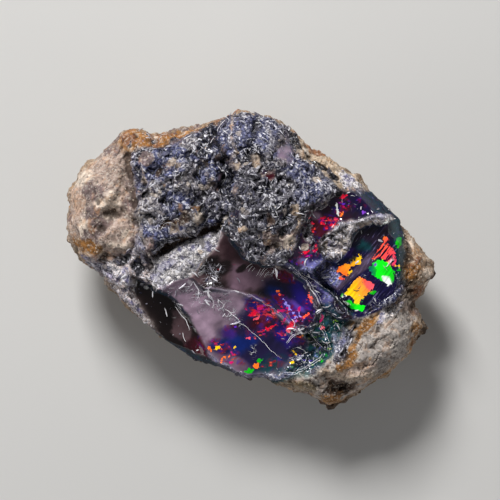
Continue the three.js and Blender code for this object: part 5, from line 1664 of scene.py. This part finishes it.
def layStrands():
    # tubes that wander a little along their paths and lie half sunk in the stone
    surface = BVHTree.FromPolygons([v.co for v in stonePiece.data.vertices],
                                   [p.vertices for p in stonePiece.data.polygons])
    points, triangles = [], []
    for line, halfThickness in strandLines():
        flat = flatPoints(line[:, 0], line[:, 1])
        sway = np.stack([noiseAt(flat, 1.9, 3, 5.0), noiseAt(flat, 1.9, 3, 71.0)], axis=1)
        thick = halfThickness * (0.7 + 0.5 * noiseAt(flat, 1.2, 2, 33.0))
        thick *= np.minimum(1, 0.15 + 5 * stepsFromEnd(len(line)) / len(line))
        spots, first, last = laidOnStone(surface, line + strandForm["wander"] * sway)
        if len(spots) > 2:
            thick = thick[first:last] * np.minimum(1, 0.2 + stepsFromEnd(len(spots)))
            triangles += tubeTriangles(len(points), len(spots))
            points += ringsAlong(spots, thick)
    piece = meshFrom("edgeStrands", np.array(points) * mm, np.array(triangles))
    giveValues(piece, "tone", np.ones(len(points)))
    # they wear the curls' finish: a painted white highlight and a painted glow
    piece.data.materials.append(looseMaterials["glassCurl"])
    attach(piece, "root")
    print("edge strands made:", len(triangles), "triangles")


layStrands()

# lengths in metres, but the lens and the sensor in millimetres
studio = {
    "cameraOver": (-0.0001, 0.0007),
    "cameraHeight": 0.355,
    "lens": 345.0,
    "sensorWidth": 36.0,
    "clipStart": 0.01,
    "floorSize": 1.2,
    "floorColor": (0.62, 0.61, 0.59, 1),
    "floorRoughness": 0.9,
    "worldColor": (0.8, 0.82, 0.86, 1),
    "worldStrength": 0.12,
    "lightsAimAt": (0, 0, 0.005),
    # place, size and power of each light
    "lights": {
        "key": ((-0.07, 0.20, 0.20), (0.09, 0.09), 1.0),
        "fill": ((0.25, -0.17, 0.09), (0.20, 0.12), 0.16),
        "low fill": ((-0.24, -0.10, 0.09), (0.20, 0.12), 0.16),
    },
}


def addFloor():
    bpy.ops.mesh.primitive_plane_add(size=studio["floorSize"], location=(0, 0, 0))
    floor = bpy.context.object
    floor.name = "floor"
    material, tree, shader = newMaterial("floorPaint")
    shader.inputs["Base Color"].default_value = studio["floorColor"]
    shader.inputs["Roughness"].default_value = studio["floorRoughness"]
    floor.data.materials.append(material)


def addLight(name, place, size, power):
    lamp = bpy.data.lights.new(name, "AREA")
    lamp.shape = "RECTANGLE"
    lamp.size, lamp.size_y = size
    lamp.energy = power
    holder = bpy.data.objects.new(name, lamp)
    holder.location = place
    ahead = Vector(studio["lightsAimAt"]) - Vector(place)
    holder.rotation_euler = ahead.to_track_quat("-Z", "Y").to_euler()
    bpy.context.scene.collection.objects.link(holder)


def addCamera():
    view = bpy.data.cameras.new("camera")
    view.lens = studio["lens"]
    view.sensor_width = studio["sensorWidth"]
    view.clip_start = studio["clipStart"]
    camera = bpy.data.objects.new("camera", view)
    camera.location = (*studio["cameraOver"], studio["cameraHeight"])
    bpy.context.scene.collection.objects.link(camera)
    bpy.context.scene.camera = camera


addFloor()
for name, settings in studio["lights"].items():
    addLight(name, *settings)
addCamera()
world = bpy.data.worlds.new("world")
world.use_nodes = True
world.node_tree.nodes["Background"].inputs["Color"].default_value = studio["worldColor"]
world.node_tree.nodes["Background"].inputs["Strength"].default_value = studio["worldStrength"]
bpy.context.scene.world = world
bpy.context.scene.view_settings.view_transform = "Standard"
print("studio set")
